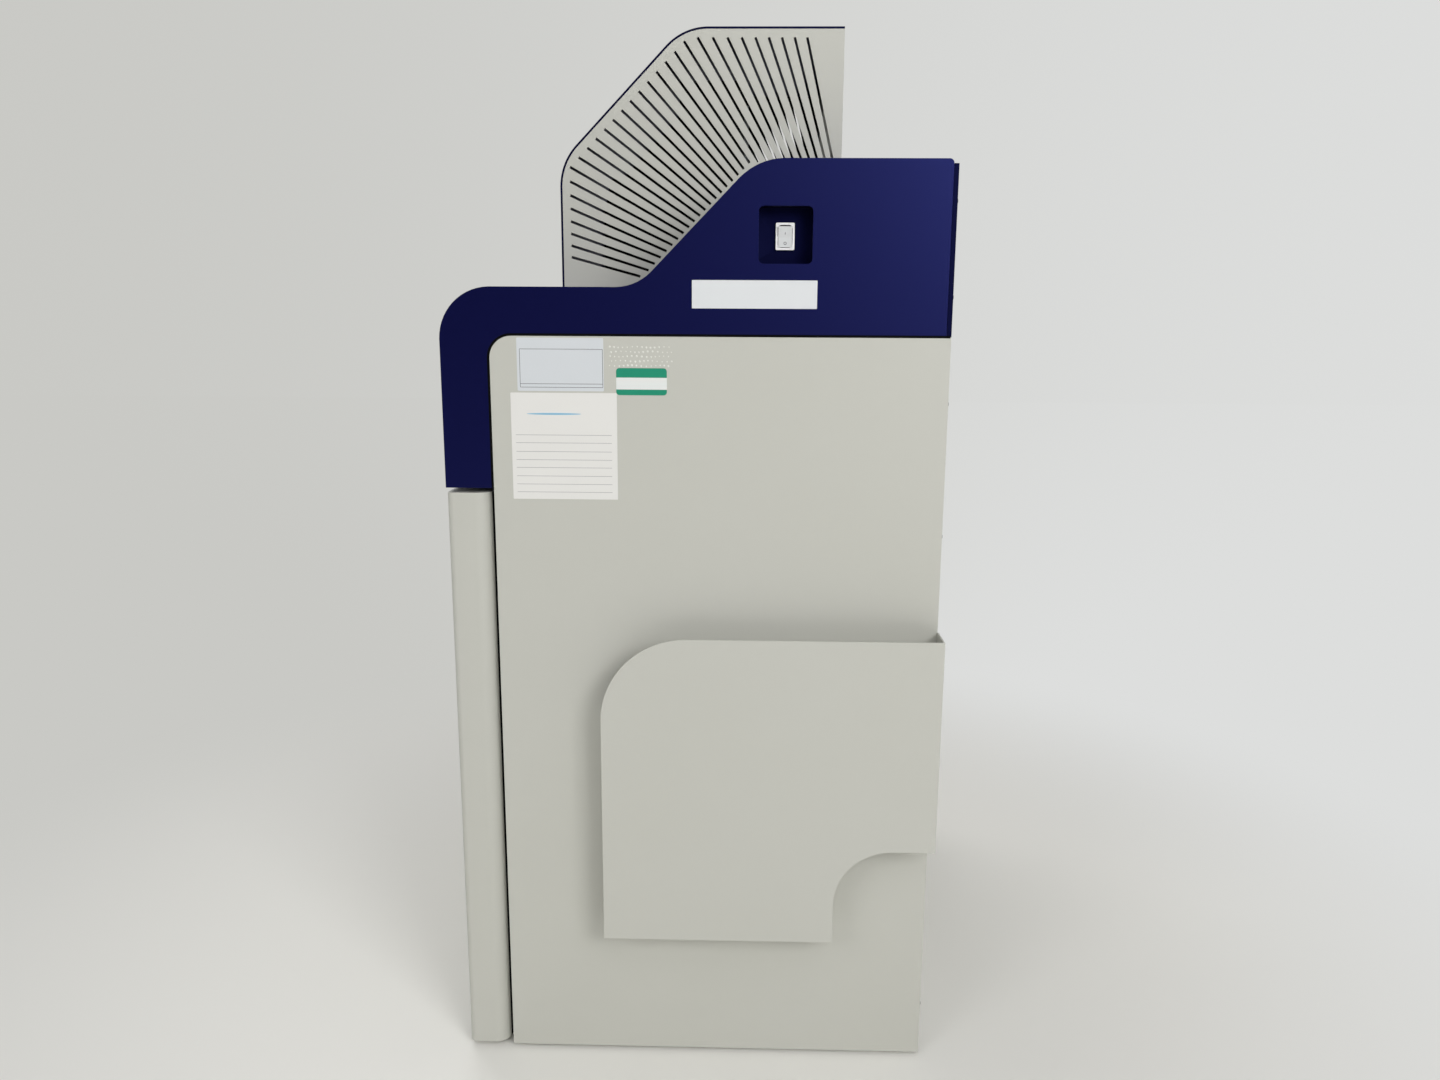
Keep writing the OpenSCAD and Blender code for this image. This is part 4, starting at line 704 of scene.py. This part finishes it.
def makeSeam(d, x):
    lines = [openOutline(d["front"] - grow, d["top"] + grow, d["corner"] + grow, d)
             for grow in (0, d["wide"])]
    strip = bridgeLoops(lines, d["thick"])
    strip.data.transform(Matrix.Translation((x, 0, 0)))
    strip.data.materials.append(gapShadeBlack)
    onePiece("cover_seam_shadow", [strip])


makeSeam(seam, sideX + ink * mm)
print("edging made")

# wire guard over the fan at the rear, in mm; the rings lie on the spokes, and an eye goes round each screw
guard = {"centre": (105.0, 424.0), "rings": (12.0, 20.0, 28.0, 36.0), "wire": 0.6, "ringsOut": 2.2,
         "screwAt": 35.7, "eye": 3.4, "spokes": 4, "firstSpoke": 45, "spokeSteps": 10}
wireSteps = (64, 8)  # facets along and around a ring of wire


def wireRing(radius, x, y, z, wire):
    bpy.ops.object.select_all(action="DESELECT")
    bpy.ops.mesh.primitive_torus_add(major_radius=radius * mm, minor_radius=wire * mm,
                                     major_segments=wireSteps[0], minor_segments=wireSteps[1],
                                     location=(x * mm, y * mm, z * mm), rotation=(math.radians(90), 0, 0))
    return bpy.context.object


def makeGuard(d):
    x, z = d["centre"]
    wire = d["wire"]
    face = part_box("rear_panel")[1][1] / mm
    parts = [wireRing(r, x, face + d["ringsOut"] * wire, z, wire) for r in d["rings"]]
    reach = d["screwAt"] * math.sqrt(2)  # the screws stand at the corners of a square
    start, end = d["rings"][0] - wire, reach - d["eye"]
    middle = (start + end) / 2
    for k in range(d["spokes"]):
        turn = d["firstSpoke"] + 360 / d["spokes"] * k
        angle = math.radians(turn)
        bpy.ops.object.select_all(action="DESELECT")
        bpy.ops.mesh.primitive_cylinder_add(vertices=d["spokeSteps"], radius=wire * mm,
                                            depth=(end - start) * mm,
                                            location=((x + middle * math.cos(angle)) * mm,
                                                      (face + wire) * mm,
                                                      (z + middle * math.sin(angle)) * mm),
                                            rotation=(0, math.radians(90) - angle, 0))
        parts.append(bpy.context.object)
        parts.append(wireRing(d["eye"], x + reach * math.cos(angle), face + wire,
                              z + reach * math.sin(angle), wire))
    for part in parts:
        part.data.materials.append(finishes["zinc_steel"])
    onePiece("fan_guard", parts)
    bpy.ops.object.shade_smooth_by_angle(angle=tubeAngle)


makeGuard(guard)
print("guard made")

# plain symbols under the four buttons, in mm: a lamp, a tube, a table and a filter wheel
symbols = {"buttons": ("white_light_button", "uv_light_button", "table_light_button", "filter_button"),
           "z": 551.0, "thick": 0.04, "ring": 3.0, "stroke": 0.32, "lampFlat": 0.06,
           "bars": (-2.4, 0.0, 2.4), "barWidth": 6.4, "table": (7.0, 4.6),
           "dots": 6, "dot": 0.75, "dotSteps": 16}


def inkBox(x, z, width, height, y, thick):
    bpy.ops.object.select_all(action="DESELECT")
    bpy.ops.mesh.primitive_cube_add(size=1, location=(x * mm, y, z * mm))
    bar = bpy.context.object
    bar.scale = (width * mm, thick * mm, height * mm)
    return bar


def makeSymbols(d):
    thick = d["thick"]
    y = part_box("control_panel")[0][1] - thick / 2 * mm
    xs = [sum(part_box(button)[end][0] for end in (0, 1)) / 2 / mm for button in d["buttons"]]
    z = d["z"]
    line = 2 * d["stroke"]
    lamp = wireRing(d["ring"], xs[0], y / mm, z, d["stroke"])
    lamp.scale = (1, 1, d["lampFlat"])
    parts = [lamp] + [inkBox(xs[1], z + up, d["barWidth"], line, y, thick) for up in d["bars"]]
    width, height = d["table"]
    for side in (-0.5, 0.5):  # the lower and the left edge, then the upper and the right edge
        parts.append(inkBox(xs[2], z + side * height, width, line, y, thick))
        parts.append(inkBox(xs[2] + side * width, z, line, height, y, thick))
    for k in range(d["dots"]):
        angle = 2 * math.pi * k / d["dots"]
        bpy.ops.object.select_all(action="DESELECT")
        bpy.ops.mesh.primitive_cylinder_add(vertices=d["dotSteps"], radius=d["dot"] * mm,
                                            depth=thick * mm,
                                            location=((xs[3] + d["ring"] * math.cos(angle)) * mm, y,
                                                      (z + d["ring"] * math.sin(angle)) * mm),
                                            rotation=(math.radians(90), 0, 0))
        parts.append(bpy.context.object)
    for part in parts:
        part.data.materials.append(paper["testFilm"])
    onePiece("button_symbols", parts)


makeSymbols(symbols)
print("symbols made")
